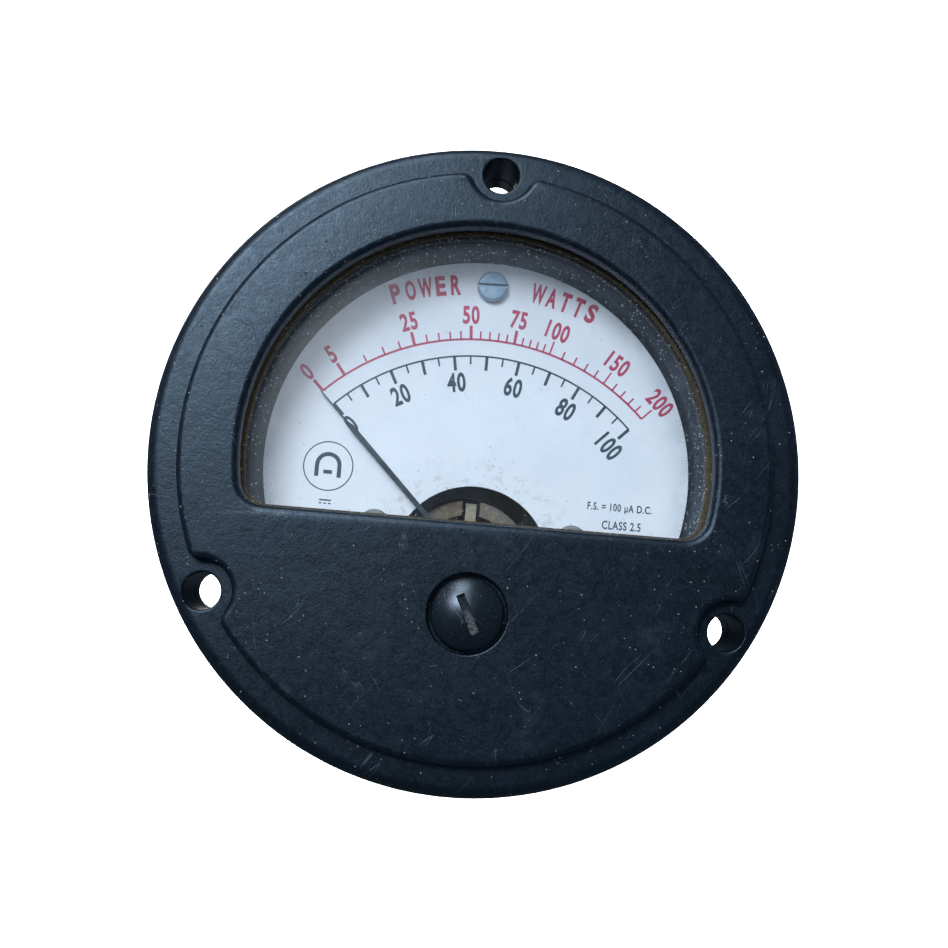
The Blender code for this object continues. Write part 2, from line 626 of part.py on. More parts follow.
# ================================================================= zero adjuster
def build_zero_screw(parent):
    """Domed adjusting screw with an eccentric pin, and the ring clip that keeps it in."""
    seat = RECESS_FLOOR + SMALL_GAP
    edge = seat + ADJUSTER_HEAD_EDGE
    curve = (ADJUSTER_HEAD ** 2 + ADJUSTER_DOME ** 2) / (2 * ADJUSTER_DOME)
    spread = math.degrees(math.asin(ADJUSTER_HEAD / curve))
    profile = arc(curve, 90, 90 - spread, 7, 0, edge + ADJUSTER_DOME - curve)
    profile[0] = (0, edge + ADJUSTER_DOME)
    profile += [(ADJUSTER_HEAD, seat), (ADJUSTER_SHANK, seat), (ADJUSTER_SHANK, SHANK_BACK), (0, SHANK_BACK)]
    mesh = turned_mesh("zero_adjust_screw", profile, 24)
    screw = place_mesh("zero_adjust_screw", mesh, parent, "bakelite")
    groove_low, groove_high = CLIP_BACK - SMALL_GAP / 2, CLIP_FRONT + SMALL_GAP / 2
    wide, narrow = ADJUSTER_SHANK + GAP, ADJUSTER_SHANK - GAP
    groove = turned_mesh("clip_groove", [(wide, groove_high), (wide, groove_low), (narrow, groove_low),
                                         (narrow, groove_high), (wide, groove_high)], 24)
    cut(screw, "clip_groove", groove)
    pin = rod_mesh("adjuster_pin", ADJUSTER_PIN, ARM_BACK - SMALL_GAP, SHANK_BACK + GAP,
                   [(0, ADJUSTER_THROW)])
    join(screw, "adjuster_pin", pin)
    length, width, depth = ADJUSTER_SLOT
    slot = box_mesh("adjuster_slot", (width, length, 2 * depth), (0, 0, edge + ADJUSTER_DOME))
    cut(screw, "adjuster_slot", slot, turn=ADJUSTER_SLOT_TURN)

    clip = plate_mesh("zero_screw_clip", [split_ring(RING_CLIP, ADJUSTER_SHANK - GAP + SMALL_GAP, 40)],
                      CLIP_BACK, CLIP_FRONT)
    place_mesh("zero_screw_clip", clip, parent, "steel")


def split_ring(outer, inner, mouth):
    """Outline of a flat ring with a mouth of so many degrees, open downwards."""
    start, end = -90 + mouth / 2, 270 - mouth / 2
    return arc(outer, start, end, 24) + arc(inner, end, start, 20)


def build_zero_arm(parent):
    """Forked arm that the adjuster's pin swings, with the stud of the front hairspring."""
    reach = ADJUSTER_DROP - PIVOT_DROP
    slot = ADJUSTER_PIN + 2 * RUNNING_GAP
    slot_top = -(reach - ADJUSTER_THROW) + ADJUSTER_PIN + 4 * RUNNING_GAP
    tip = -(reach + 2 * ADJUSTER_PIN)
    half = ARM_HALF_WIDTH
    meet = math.degrees(math.acos(half / ARM_HUB))
    ear = SPRING_OUTER + SPRING_WIRE + SPRING_STUD + SMALL_GAP
    ear_half = 2 * SPRING_STUD
    outline = arc(ARM_HUB, -meet, 180 + meet, 22)
    outline += [(-half, tip), (-slot, tip)]
    outline += arc(slot, 180, 0, 7, 0, slot_top - slot)
    outline += [(slot, tip), (half, tip)]
    mesh = plate_mesh("zero_adjust_arm", [outline, circle(JEWEL_SCREW + RUNNING_GAP)], ARM_BACK, ARM_FRONT)
    arm = place_mesh("zero_adjust_arm", mesh, parent, "brass")
    level = (ARM_BACK + ARM_FRONT) / 2
    inner = (ARM_HUB + JEWEL_SCREW) / 2
    bar = box_mesh("spring_ear", (ear + ear_half - inner, 2 * ear_half, 0.9 * ARM_THICKNESS),
                   ((ear + ear_half + inner) / 2, 0, 0))
    join(arm, "spring_ear", moved(bar, z=level, turn=SPRING_STUD_ANGLE))
    stud = rod_mesh("front_spring_stud", SPRING_STUD, SPRING_FRONT_LEVEL - SPRING_WIRE, level,
                    on_circle(ear, [SPRING_STUD_ANGLE]), 8)
    join(arm, "front_spring_stud", stud)


# ================================================================= magnet system
def build_pole_pieces(parent):
    """Left and right soft-iron pole pieces round the coil."""
    half_slot = POLE_SLOT / 2
    tip_angle = math.degrees(math.acos(half_slot / POLE_TIP))
    bore_angle = math.degrees(math.acos(half_slot / POLE_BORE))
    step = math.degrees(math.asin(POLE_HALF_HEIGHT / POLE_TIP))
    outline = arc(POLE_BORE, -bore_angle, bore_angle, 17)
    outline += arc(POLE_TIP, tip_angle, step, 8)
    outline += [(POLE_REACH, POLE_HALF_HEIGHT), (POLE_REACH, -POLE_HALF_HEIGHT)]
    outline += arc(POLE_TIP, -step, -tip_angle, 8)
    holes = [circle(POLE_SCREW + SCREW_GAP, 12, pole_screw_place(), 0),
             circle(BRIDGE_SCREW + SMALL_GAP, 10, LEG_PLACE, 0)]
    for name, turn in (("right_pole_piece", 0), ("left_pole_piece", 180)):
        mesh = plate_mesh(name, [outline] + holes, POLE_BACK, POLE_FRONT)
        place_mesh(name, moved(mesh, turn=turn), parent, "dull_steel")


def pole_screw_place():
    """Distance of a pole piece's screw from the pointer axis, midway from the bridge's leg to its end."""
    return (LEG_PLACE + LEG_RADIUS + POLE_REACH) / 2


def build_magnet(parent):
    """Horseshoe magnet that arches over the pole pieces."""
    outline = arc(MAGNET_OUTER, 0, 180, 33, 0, MAGNET_ARCH_RISE)
    outline += [(-MAGNET_OUTER, MAGNET_FOOT), (-MAGNET_INNER, MAGNET_FOOT)]
    outline += arc(MAGNET_INNER, 180, 0, 25, 0, MAGNET_ARCH_RISE)
    outline += [(MAGNET_INNER, MAGNET_FOOT), (MAGNET_OUTER, MAGNET_FOOT)]
    mesh = plate_mesh("horseshoe_magnet", [outline], MAGNET_BACK, MAGNET_FRONT)
    place_mesh("horseshoe_magnet", mesh, parent, "magnet_alloy")


def build_core(parent):
    """Iron core and the two brass blocks that carry it between the pole tips."""
    place_mesh("iron_core", rod_mesh("iron_core", CORE_RADIUS, CORE_BACK, CORE_FRONT, sides=32), parent,
               "dull_steel")
    inner = CORE_RADIUS + SMALL_GAP
    level = (CORE_FRONT + CORE_BACK) / 2
    for name, side in (("upper_core_support", 1), ("lower_core_support", -1)):
        mesh = box_mesh(name, (SUPPORT_WIDTH, SUPPORT_REACH - inner, CORE_LENGTH),
                        (0, side * (SUPPORT_REACH + inner) / 2, level))
        place_mesh(name, mesh, parent, "brass")


def screw_profile(head, shank, seat, tip, head_height):
    """Profile of a pan-head screw whose head faces +z, from the top of the head to the tip."""
    top = seat + head_height
    ease = min(0.3 * head_height, 0.3 * head)
    return [(0, top), (head - ease, top), (head, top - ease), (head, seat), (shank, seat), (shank, tip),
            (0, tip)]


def back_screw_profile(head, shank, seat, tip, head_height):
    """The same screw facing -z: its head lies below the seat, its tip above it."""
    return [(r, -z) for r, z in reversed(screw_profile(head, shank, -seat, -tip, head_height))]


def build_frame(parent):
    """Round plate that carries the magnet system, with its screws."""
    frame_spots = on_circle(FRAME_SCREW_CIRCLE, FRAME_SCREW_ANGLES)
    pole_spots = [(side * pole_screw_place(), -PIVOT_DROP) for side in (1, -1)]
    holes = [circle(FRAME_OPENING, 32, 0, -PIVOT_DROP)]
    holes += [circle(FRAME_SCREW + SCREW_GAP, 12, x, y) for x, y in frame_spots]
    holes += [circle(POLE_SCREW + SCREW_GAP, 12, x, y) for x, y in pole_spots]
    mesh = plate_mesh("movement_frame", [circle(FRAME_RADIUS, 48)] + holes, FRAME_BACK, FRAME_FRONT)
    place_mesh("movement_frame", mesh, parent, "aluminium")

    seat = FRAME_BACK - SMALL_GAP
    profile = back_screw_profile(POLE_SCREW_HEAD, POLE_SCREW, seat, POLE_BACK + POLE_SCREW_BITE,
                                 POLE_SCREW_HEAD_HEIGHT)
    mesh = slotted("pole_screw", turned_mesh("pole_screw", profile, 12),
                   screw_blade(POLE_SCREW_HEAD, POLE_SCREW_SLOT, POLE_SCREW_HEAD_HEIGHT / 2),
                   (0, 0, seat - POLE_SCREW_HEAD_HEIGHT))
    place_copies("pole_screw", ("right", "left"), mesh, parent, "steel", pole_spots)
    seat = REAR_OUTER + REAR_WALL / 2 - SMALL_GAP
    profile = back_screw_profile(FRAME_SCREW_HEAD, FRAME_SCREW, seat, FRAME_FRONT, FRAME_SCREW_HEAD_HEIGHT)
    mesh = slotted("frame_screw", turned_mesh("frame_screw", profile),
                   screw_blade(FRAME_SCREW_HEAD, CASE_SCREW_SLOT, FRAME_SCREW_HEAD_HEIGHT / 2),
                   (0, 0, seat - FRAME_SCREW_HEAD_HEIGHT))
    place_copies("frame_screw", THREE_SIDES, mesh, parent, "steel", frame_spots)


# ================================================================= bridges and bearings
def bridge_outline():
    """Level strip with a round hub."""
    half = BRIDGE_HALF_WIDTH
    meet = math.degrees(math.asin(half / BRIDGE_HUB))
    outline = arc(half, -90, 90, 8, LEG_PLACE, 0)
    outline += arc(BRIDGE_HUB, meet, 180 - meet, 9)
    outline += arc(half, 90, 270, 8, -LEG_PLACE, 0)
    outline += arc(BRIDGE_HUB, 180 + meet, 360 - meet, 9)
    return outline


def bridge_hole():
    """Centre hole for the jewel screw."""
    return circle(JEWEL_SCREW + SMALL_GAP)


def stop_angles():
    """Directions of the two pins that stop the pointer's tail, in degrees anticlockwise from +x."""
    half_tail = math.degrees(POINTER_WIDTH / 2 / STOP_CIRCLE)
    half_pin = math.degrees(STOP_RADIUS / STOP_CIRCLE)
    first = -90 + SCALE_SWEEP / 2 + STOP_MARGIN + half_tail + half_pin
    return first, 180 - first


def build_front_bridge(parent):
    """Front bridge with its legs and two stop pins, the long bridge screws and the jewel screw."""
    mesh = plate_mesh("front_bridge", [bridge_outline(), bridge_hole()], BRIDGE_BACK, BRIDGE_FRONT)
    bridge = place_mesh("front_bridge", mesh, parent, "brass")
    middle = (BRIDGE_BACK + BRIDGE_FRONT) / 2
    for side, angle, (x, y) in zip(("right", "left"), stop_angles(), on_circle(STOP_CIRCLE, stop_angles())):
        reach = STOP_CIRCLE - BRIDGE_HUB + STOP_RADIUS
        bar = box_mesh("stop_bar", (reach, 3 * STOP_RADIUS, 0.9 * BRIDGE_THICKNESS),
                       (STOP_CIRCLE - reach / 2, 0, 0))
        join(bridge, f"stop_bar_{side}", moved(bar, z=middle, turn=angle))
        disc = rod_mesh("stop_ear", STOP_EAR, BRIDGE_BACK, BRIDGE_FRONT, [(x, y)])
        join(bridge, f"stop_ear_{side}", disc)
        join(bridge, f"stop_pin_{side}", rod_mesh("stop_pin", STOP_RADIUS, DIAL_FRONT, middle, [(x, y)], 10))
    join_legs(bridge, middle, POLE_FRONT + SMALL_GAP)

    seat = BRIDGE_FRONT + SMALL_GAP
    profile = screw_profile(BRIDGE_HALF_WIDTH, BRIDGE_SCREW, seat, REAR_BRIDGE_BACK, BRIDGE_SCREW_HEAD_HEIGHT)
    mesh = slotted("bridge_screw", turned_mesh("bridge_screw", profile, 12),
                   screw_blade(BRIDGE_HALF_WIDTH, BRIDGE_SCREW_SLOT, BRIDGE_SCREW_SLOT_DEPTH),
                   (0, 0, seat + BRIDGE_SCREW_HEAD_HEIGHT))
    place_copies("bridge_screw", ("right", "left"), mesh, parent, "steel",
                 [(LEG_PLACE, 0), (-LEG_PLACE, 0)])

    nut_back = ARM_FRONT + SMALL_GAP
    nut_front = nut_back + JEWEL_NUT_THICKNESS
    place_mesh("front_jewel_screw", jewel_mesh("front_jewel_screw", BRIDGE_BACK - GAP, nut_front + GAP),
               parent, "brass")
    nut = plate_mesh("front_jewel_nut", [circle(JEWEL_NUT, 6), circle(JEWEL_SCREW + SMALL_GAP)],
                     nut_back, nut_front)
    place_mesh("front_jewel_nut", nut, parent, "brass")


def join_legs(bridge, start, end):
    """Join a bridge's two hollow legs, from inside its plate to the pole pieces."""
    for side, place in (("right", LEG_PLACE), ("left", -LEG_PLACE)):
        leg = rod_mesh("leg", LEG_RADIUS, min(start, end), max(start, end), [(place, 0)], 12)
        join(bridge, f"leg_{side}", leg)
        bore = rod_mesh("leg_bore", BRIDGE_SCREW + SMALL_GAP, min(start, end) - 2 * BRIDGE_THICKNESS,
                        max(start, end) + 2 * BRIDGE_THICKNESS, [(place, 0)], 12)
        cut(bridge, f"leg_bore_{side}", bore)


def jewel_mesh(name, cup_end, slot_end):
    """Jewel screw between two levels, with its bearing cup open at the first."""
    deep = cup_end + (slot_end - cup_end) * 0.5
    profile = [(0, slot_end), (JEWEL_SCREW, slot_end), (JEWEL_SCREW, cup_end), (JEWEL_CUP, cup_end),
               (JEWEL_CUP, deep), (0, deep)]
    if slot_end < cup_end:
        profile.reverse()
    return turned_mesh(name, profile)


def build_rear_bridge(parent):
    """Rear bridge with its legs, soldering ear and spring stud, and the rear jewel screw."""
    mesh = plate_mesh("rear_bridge", [bridge_outline(), bridge_hole()], REAR_BRIDGE_BACK, REAR_BRIDGE_FRONT)
    bridge = place_mesh("rear_bridge", mesh, parent, "brass")
    middle = (REAR_BRIDGE_BACK + REAR_BRIDGE_FRONT) / 2
    ear = box_mesh("lead_ear", (LEAD_EAR_WIDTH, LEAD_EAR_REACH, 0.9 * BRIDGE_THICKNESS),
                   (0, BRIDGE_HUB - BRIDGE_THICKNESS + LEAD_EAR_REACH / 2, middle))
    join(bridge, "lead_ear", ear)
    stud_place = SPRING_OUTER + SPRING_WIRE + SPRING_STUD + SMALL_GAP
    stud = rod_mesh("rear_spring_stud", SPRING_STUD, middle, REAR_SPRING_LEVEL + 2 * SPRING_WIRE,
                    [(-stud_place, 0)], 8)
    join(bridge, "rear_spring_stud", stud)
    join_legs(bridge, middle, POLE_BACK - SMALL_GAP)

    nut_front = REAR_BRIDGE_BACK - SMALL_GAP
    nut_back = nut_front - JEWEL_NUT_THICKNESS
    place_mesh("rear_jewel_screw", jewel_mesh("rear_jewel_screw", REAR_BRIDGE_FRONT + GAP, nut_back - GAP),
               parent, "brass")
    nut = plate_mesh("rear_jewel_nut", [circle(JEWEL_NUT, 6), circle(JEWEL_SCREW + SMALL_GAP)],
                     nut_back, nut_front)
    place_mesh("rear_jewel_nut", nut, parent, "brass")


# ================================================================= moving coil
def build_coil(parent):
    """Aluminium former with its copper winding, both open round the core."""
    level = (FORMER_FRONT + FORMER_BACK) / 2
    sizes = (("coil_former", FORMER_OUTER, FORMER_FRONT, FORMER_WALL, FORMER_WIDTH, "aluminium"),
             ("coil_winding", WINDING_OUTER, WINDING_FRONT, WINDING_THICKNESS, WINDING_WIDTH, "copper"))
    for name, reach, front, wall, width, finish in sizes:
        height = 2 * (front - level)
        ring = place_mesh(name, box_mesh(name, (2 * reach, width, height), (0, 0, level)), parent, finish)
        inside = (2 * (reach - wall), 2 * width, height - 2 * wall)
        cut(ring, name + "_inside", box_mesh(name + "_inside", inside, (0, 0, level)))


def build_staffs(parent):
    """Front and rear staffs, each a foot on the coil and a pointed shaft in its jewel."""
    front_tip = BRIDGE_BACK + BRIDGE_THICKNESS / 2
    rear_tip = REAR_BRIDGE_FRONT - BRIDGE_THICKNESS / 2
    for name, foot, tip, out in (("front_staff", WINDING_FRONT + SMALL_GAP, front_tip, 1),
                                 ("rear_staff", WINDING_BACK - SMALL_GAP, rear_tip, -1)):
        profile = [(0, tip), (STAFF_RADIUS, tip - out * STAFF_CONE),
                   (STAFF_RADIUS, foot + out * STAFF_FOOT_THICKNESS),
                   (STAFF_FOOT, foot + out * STAFF_FOOT_THICKNESS), (STAFF_FOOT, foot), (0, foot)]
        if out < 0:
            profile.reverse()
        place_mesh(name, turned_mesh(name, profile), parent, "steel")


def build_pointer(parent):
    """Pointer with its hub and tail, and the balance weight on the tail."""
    half, tip = POINTER_WIDTH / 2, POINTER_TIP_WIDTH / 2
    meet = math.degrees(math.acos(half / POINTER_HUB))
    outline = [(half, POINTER_TIP_START), (tip, POINTER_TIP_START + POINTER_TAPER), (tip, POINTER_REACH)]
    outline += [(-x, y) for x, y in reversed(outline)]
    outline += arc(POINTER_HUB, 180 - meet, 180 + meet, 11)
    outline += [(-half, -POINTER_TAIL), (half, -POINTER_TAIL)]
    outline += arc(POINTER_HUB, -meet, meet, 11)
    mesh = plate_mesh("pointer", [outline, circle(STAFF_RADIUS + SMALL_GAP)], POINTER_BACK, POINTER_FRONT)
    place_mesh("pointer", mesh, parent, "blued_steel")

    low, high = WEIGHT_PLACE - WEIGHT_LENGTH / 2, WEIGHT_PLACE + WEIGHT_LENGTH / 2
    sleeve = turned_mesh("balance_weight", [(WEIGHT_RADIUS, high), (WEIGHT_RADIUS, low), (WEIGHT_BORE, low),
                                            (WEIGHT_BORE, high), (WEIGHT_RADIUS, high)])
    sleeve.transform(Matrix.Translation((0, 0, POINTER_MID)) @ Matrix.Rotation(math.pi / 2, 4, 'X'))
    place_mesh("balance_weight", sleeve, parent, "brass")


def build_hairspring(name, level, end_angle, parent):
    """Flat spiral spring whose outer end lies at an angle in degrees."""
    curve = bpy.data.curves.new(name, 'CURVE')
    curve.dimensions = '3D'
    curve.bevel_depth = SPRING_WIRE
    curve.bevel_resolution = 0
    curve.use_fill_caps = True
    count = round(SPRING_TURNS * 16) + 1
    spline = curve.splines.new('POLY')
    spline.points.add(count - 1)
    for number, point in enumerate(spline.points):
        share = number / (count - 1)
        radius = SPRING_INNER + (SPRING_OUTER - SPRING_INNER) * share
        angle = math.radians(end_angle) - math.tau * SPRING_TURNS * (1 - share)
        point.co = (radius * math.cos(angle), radius * math.sin(angle), level, 1)
    place_mesh(name, wire_mesh(name, curve), parent, "bronze")


# ================================================================= dial
def dial_spots():
    """Places of the three dial screws in the face frame."""
    across, height = DIAL_SCREW_LOW
    return [(DIAL_SHIFT, DIAL_SCREW_TOP), (DIAL_SHIFT - across, height), (DIAL_SHIFT + across, height)]


def build_dial(parent):
    """Dial plate, its three screws and the pillars under them."""
    lean = math.degrees(math.asin(DIAL_BASE / DIAL_RADIUS))
    outline = arc(DIAL_RADIUS, lean, 180 - lean, 57, DIAL_SHIFT, 0)
    side = math.sqrt(DIAL_OPENING ** 2 - (DIAL_BASE + PIVOT_DROP) ** 2)
    start = math.degrees(math.atan2(DIAL_BASE + PIVOT_DROP, side))
    outline += arc(DIAL_OPENING, 180 - start, start, 25, DIAL_SHIFT, -PIVOT_DROP)
    holes = [circle(DIAL_SCREW + SCREW_GAP, 12, x, y) for x, y in dial_spots()]
    mesh = plate_mesh("dial_plate", [outline] + holes, DIAL_BACK, DIAL_FRONT)
    place_mesh("dial_plate", mesh, parent, "dial_white")

    seat = DIAL_FRONT + SMALL_GAP
    profile = screw_profile(DIAL_SCREW_HEAD, DIAL_SCREW, seat, DIAL_BACK - DIAL_SCREW_BITE,
                            DIAL_SCREW_HEAD_THICKNESS)
    mesh = slotted("dial_screw", turned_mesh("dial_screw", profile, 20),
                   screw_blade(DIAL_SCREW_HEAD, DIAL_SCREW_SLOT, DIAL_SCREW_SLOT_DEPTH),
                   (0, 0, seat + DIAL_SCREW_HEAD_THICKNESS))
    place_copies("dial_screw", ("top", "left", "right"), mesh, parent, "dull_steel", dial_spots())

    top = DIAL_BACK - SMALL_GAP
    bore = DIAL_SCREW + SCREW_GAP
    foot = FRAME_FRONT + SMALL_GAP
    deep = top - PILLAR_BORE_DEPTH
    profile = [(0, deep), (bore, deep), (bore, top), (PILLAR_RADIUS, top), (PILLAR_RADIUS, foot),
               (0, foot)]
    place_copies("dial_pillar", ("top",), turned_mesh("long_dial_pillar", profile, 12), parent, "brass",
                 dial_spots()[:1])
    foot = POLE_FRONT + SMALL_GAP
    profile = [(PILLAR_RADIUS, top), (PILLAR_RADIUS, foot), (bore, foot), (bore, top), (PILLAR_RADIUS, top)]
    place_copies("dial_pillar", ("left", "right"), turned_mesh("short_dial_pillar", profile, 12), parent,
                 "brass", dial_spots()[1:])


# ================================================================= terminals and leads
def stud_spots():
    """Places of the two terminal studs."""
    return [(-STUD_SPACING / 2, -STUD_DROP), (STUD_SPACING / 2, -STUD_DROP)]


def build_terminals(parent):
    """Square-headed studs, inner lugs, and the nuts and washers outside."""
    for side, spot in zip(("left", "right"), stud_spots()):
        name = f"terminal_stud_{side}"
        stud = place_mesh(name, rod_mesh(name, STUD_RADIUS, STUD_END, STUD_HEAD_BACK + GAP, [spot]), parent,
                          "brass")
        head = box_mesh("head", (2 * STUD_HEAD, 2 * STUD_HEAD, STUD_HEAD_THICKNESS),
                        (*spot, (STUD_HEAD_BACK + STUD_HEAD_FRONT) / 2))
        join(stud, name + "_head", head)

    bore = circle(STUD_RADIUS + SCREW_GAP)
    half = LUG_TAIL_HALF_WIDTH
    meet = math.degrees(math.acos(half / LUG_RING))
    lug = arc(LUG_RING, 180 - meet, 360 + meet, 20) + [(half, LUG_TAIL), (-half, LUG_TAIL)]
    seat_nut = REAR_OUTER - SMALL_GAP
    washer = seat_nut - NUT_THICKNESS - SMALL_GAP
    lock = washer - WASHER_THICKNESS - SMALL_GAP
    outer_nut = lock - LOCK_WASHER_THICKNESS - SMALL_GAP
    ring = split_ring(LOCK_WASHER_RADIUS, STUD_RADIUS + SCREW_GAP, 14)
    stack = (("terminal_lug", [lug, bore], LUG_FRONT, LUG_THICKNESS, "tin"),
             ("seat_nut", [sized_hexagon(NUT_FLATS), bore], seat_nut, NUT_THICKNESS, "brass"),
             ("washer", [circle(WASHER_RADIUS, 24), bore], washer, WASHER_THICKNESS, "brass"),
             ("lock_washer", [ring], lock, LOCK_WASHER_THICKNESS, "steel"),
             ("terminal_nut", [sized_hexagon(NUT_FLATS), bore], outer_nut, NUT_THICKNESS, "brass"))
    for name, outlines, front, thickness, finish in stack:
        mesh = plate_mesh(name, outlines, front - thickness, front)
        place_copies(name, ("left", "right"), mesh, parent, finish, stud_spots())


def build_lead(name, route, parent, finish):
    """Insulated wire along a smooth curve through its route."""
    curve = bpy.data.curves.new(name, 'CURVE')
    curve.dimensions = '3D'
    curve.bevel_depth = LEAD_RADIUS
    curve.bevel_resolution = 2
    curve.use_fill_caps = True
    points = smooth_route(route, 5)
    spline = curve.splines.new('POLY')
    spline.points.add(len(points) - 1)
    for point, place in zip(spline.points, points):
        point.co = (*place, 1)
    place_mesh(name, wire_mesh(name, curve), parent, finish)


def smooth_route(route, steps):
    """Points of a Catmull-Rom curve through a route."""
    ends = [Vector(route[0]) * 2 - Vector(route[1]), *map(Vector, route),
            Vector(route[-1]) * 2 - Vector(route[-2])]
    points = []
    for before, start, end, after in zip(ends, ends[1:], ends[2:], ends[3:]):
        for step in range(steps):
            t = step / steps
            points.append(0.5 * ((2 * start) + (end - before) * t
                                 + (2 * before - 5 * start + 4 * end - after) * t ** 2
                                 + (3 * start - before - 3 * end + after) * t ** 3))
    points.append(Vector(route[-1]))
    return points


def build_leads(parent):
    """One lead from each lug: the left to the rear bridge's ear, the right to the frame plate."""
    (left_x, left_y), (right_x, right_y) = stud_spots()
    lug_level = LUG_FRONT + LEAD_RADIUS + SMALL_GAP
    tail = LUG_TAIL - LUG_JOINT
    ear_level = REAR_BRIDGE_BACK - LEAD_RADIUS - SMALL_GAP
    ear_y = -PIVOT_DROP + BRIDGE_HUB - BRIDGE_THICKNESS + LEAD_EAR_REACH
    left = [(left_x, left_y + tail, lug_level),
            (left_x + 0.6 * MM, left_y + tail + 2.2 * MM, lug_level + 0.7 * MM),
            (left_x + 4.4 * MM, left_y + tail + 1.8 * MM, (lug_level + ear_level) / 2),
            (-4.6 * MM, ear_y + 3.4 * MM, ear_level - 0.8 * MM),
            (-1.6 * MM, ear_y + 1.0 * MM, ear_level - 0.1 * MM),
            (-0.1 * MM, ear_y - 0.9 * MM, ear_level)]
    build_lead("left_lead", left, parent, "red_insulation")
    frame_level = FRAME_BACK - LEAD_RADIUS - SMALL_GAP
    right = [(right_x, right_y + tail, lug_level),
             (right_x - 0.4 * MM, right_y + tail + 2.2 * MM, lug_level + 0.8 * MM),
             (right_x - 2.2 * MM, right_y + tail + 3.0 * MM, (lug_level + frame_level) / 2),
             (right_x - 4.6 * MM, right_y + tail + 3.4 * MM, frame_level - 0.6 * MM),
             (right_x - 6.6 * MM, right_y + tail + 3.6 * MM, frame_level)]
    build_lead("right_lead", right, parent, "black_insulation")


# ================================================================= the meter
def main():
    """Build every piece on the empties that place them."""
    clear_scene()
    new_collection(PIECES)
    new_collection(CUTTERS)
    MATERIALS.update(make_materials())
    face = new_empty("meter_face", turn=(math.pi / 2, 0, 0))
    adjuster = new_empty("adjuster_axis", place=(0, -ADJUSTER_DROP, 0), parent=face)
    pivot = new_empty("pointer_axis", place=(0, -PIVOT_DROP, 0), parent=face)
    moving = new_empty("moving_coil_axis", turn=(0, 0, math.radians(POINTER_REST)), parent=pivot)

    build_front_cover(face)
    build_rear_case(face)
    build_cover_screws(face)
    build_window(face)
    build_zero_screw(adjuster)
    build_zero_arm(pivot)
    build_pole_pieces(pivot)
    build_magnet(face)
    build_core(pivot)
    build_frame(face)
    build_front_bridge(pivot)
    build_rear_bridge(pivot)
    build_coil(moving)
    build_staffs(moving)
    build_pointer(moving)
    build_hairspring("front_hairspring", SPRING_FRONT_LEVEL, SPRING_STUD_ANGLE - POINTER_REST,
                     moving)
    build_hairspring("rear_hairspring", REAR_SPRING_LEVEL, 180 - POINTER_REST, moving)
    build_dial(face)
    build_terminals(face)
    build_leads(face)
    bpy.context.view_layer.update()


MATERIALS = {}
main()
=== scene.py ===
"""Looks of a round flush-mounting panel meter with a moving-coil movement.

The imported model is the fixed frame.  Each sub-assembly below is a class that builds the fine
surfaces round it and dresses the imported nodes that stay.  Pieces are drawn in the meter's face
frame (x right, y up, z towards the reader) and stood upright as the last step of their making, so
that they look along -Y with +Z up.  Sizes are in metres.
"""
from __future__ import annotations

import logging
import math
import random
from dataclasses import dataclass, field
from enum import Enum
from typing import Any, Callable, Iterable, Sequence

import bmesh
import bpy
from mathutils import Matrix, Vector, noise

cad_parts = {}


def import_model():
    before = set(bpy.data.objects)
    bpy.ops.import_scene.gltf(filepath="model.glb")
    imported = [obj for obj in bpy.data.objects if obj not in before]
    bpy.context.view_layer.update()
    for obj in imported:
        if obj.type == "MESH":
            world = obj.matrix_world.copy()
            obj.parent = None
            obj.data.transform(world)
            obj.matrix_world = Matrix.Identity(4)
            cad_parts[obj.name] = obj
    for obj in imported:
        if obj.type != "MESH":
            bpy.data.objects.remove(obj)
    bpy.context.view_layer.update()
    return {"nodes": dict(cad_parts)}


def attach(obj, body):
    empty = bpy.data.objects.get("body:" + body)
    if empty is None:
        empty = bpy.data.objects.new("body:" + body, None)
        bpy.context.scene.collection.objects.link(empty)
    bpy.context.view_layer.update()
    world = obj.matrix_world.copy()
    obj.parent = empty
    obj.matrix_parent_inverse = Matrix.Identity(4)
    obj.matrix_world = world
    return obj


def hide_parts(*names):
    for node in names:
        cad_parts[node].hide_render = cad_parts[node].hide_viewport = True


LOG = logging.getLogger("panel_meter")
MM = 0.001
STAND_UP = Matrix.Rotation(math.pi / 2, 4, "X")
Point = tuple[float, float]
Colour = tuple[float, float, float]


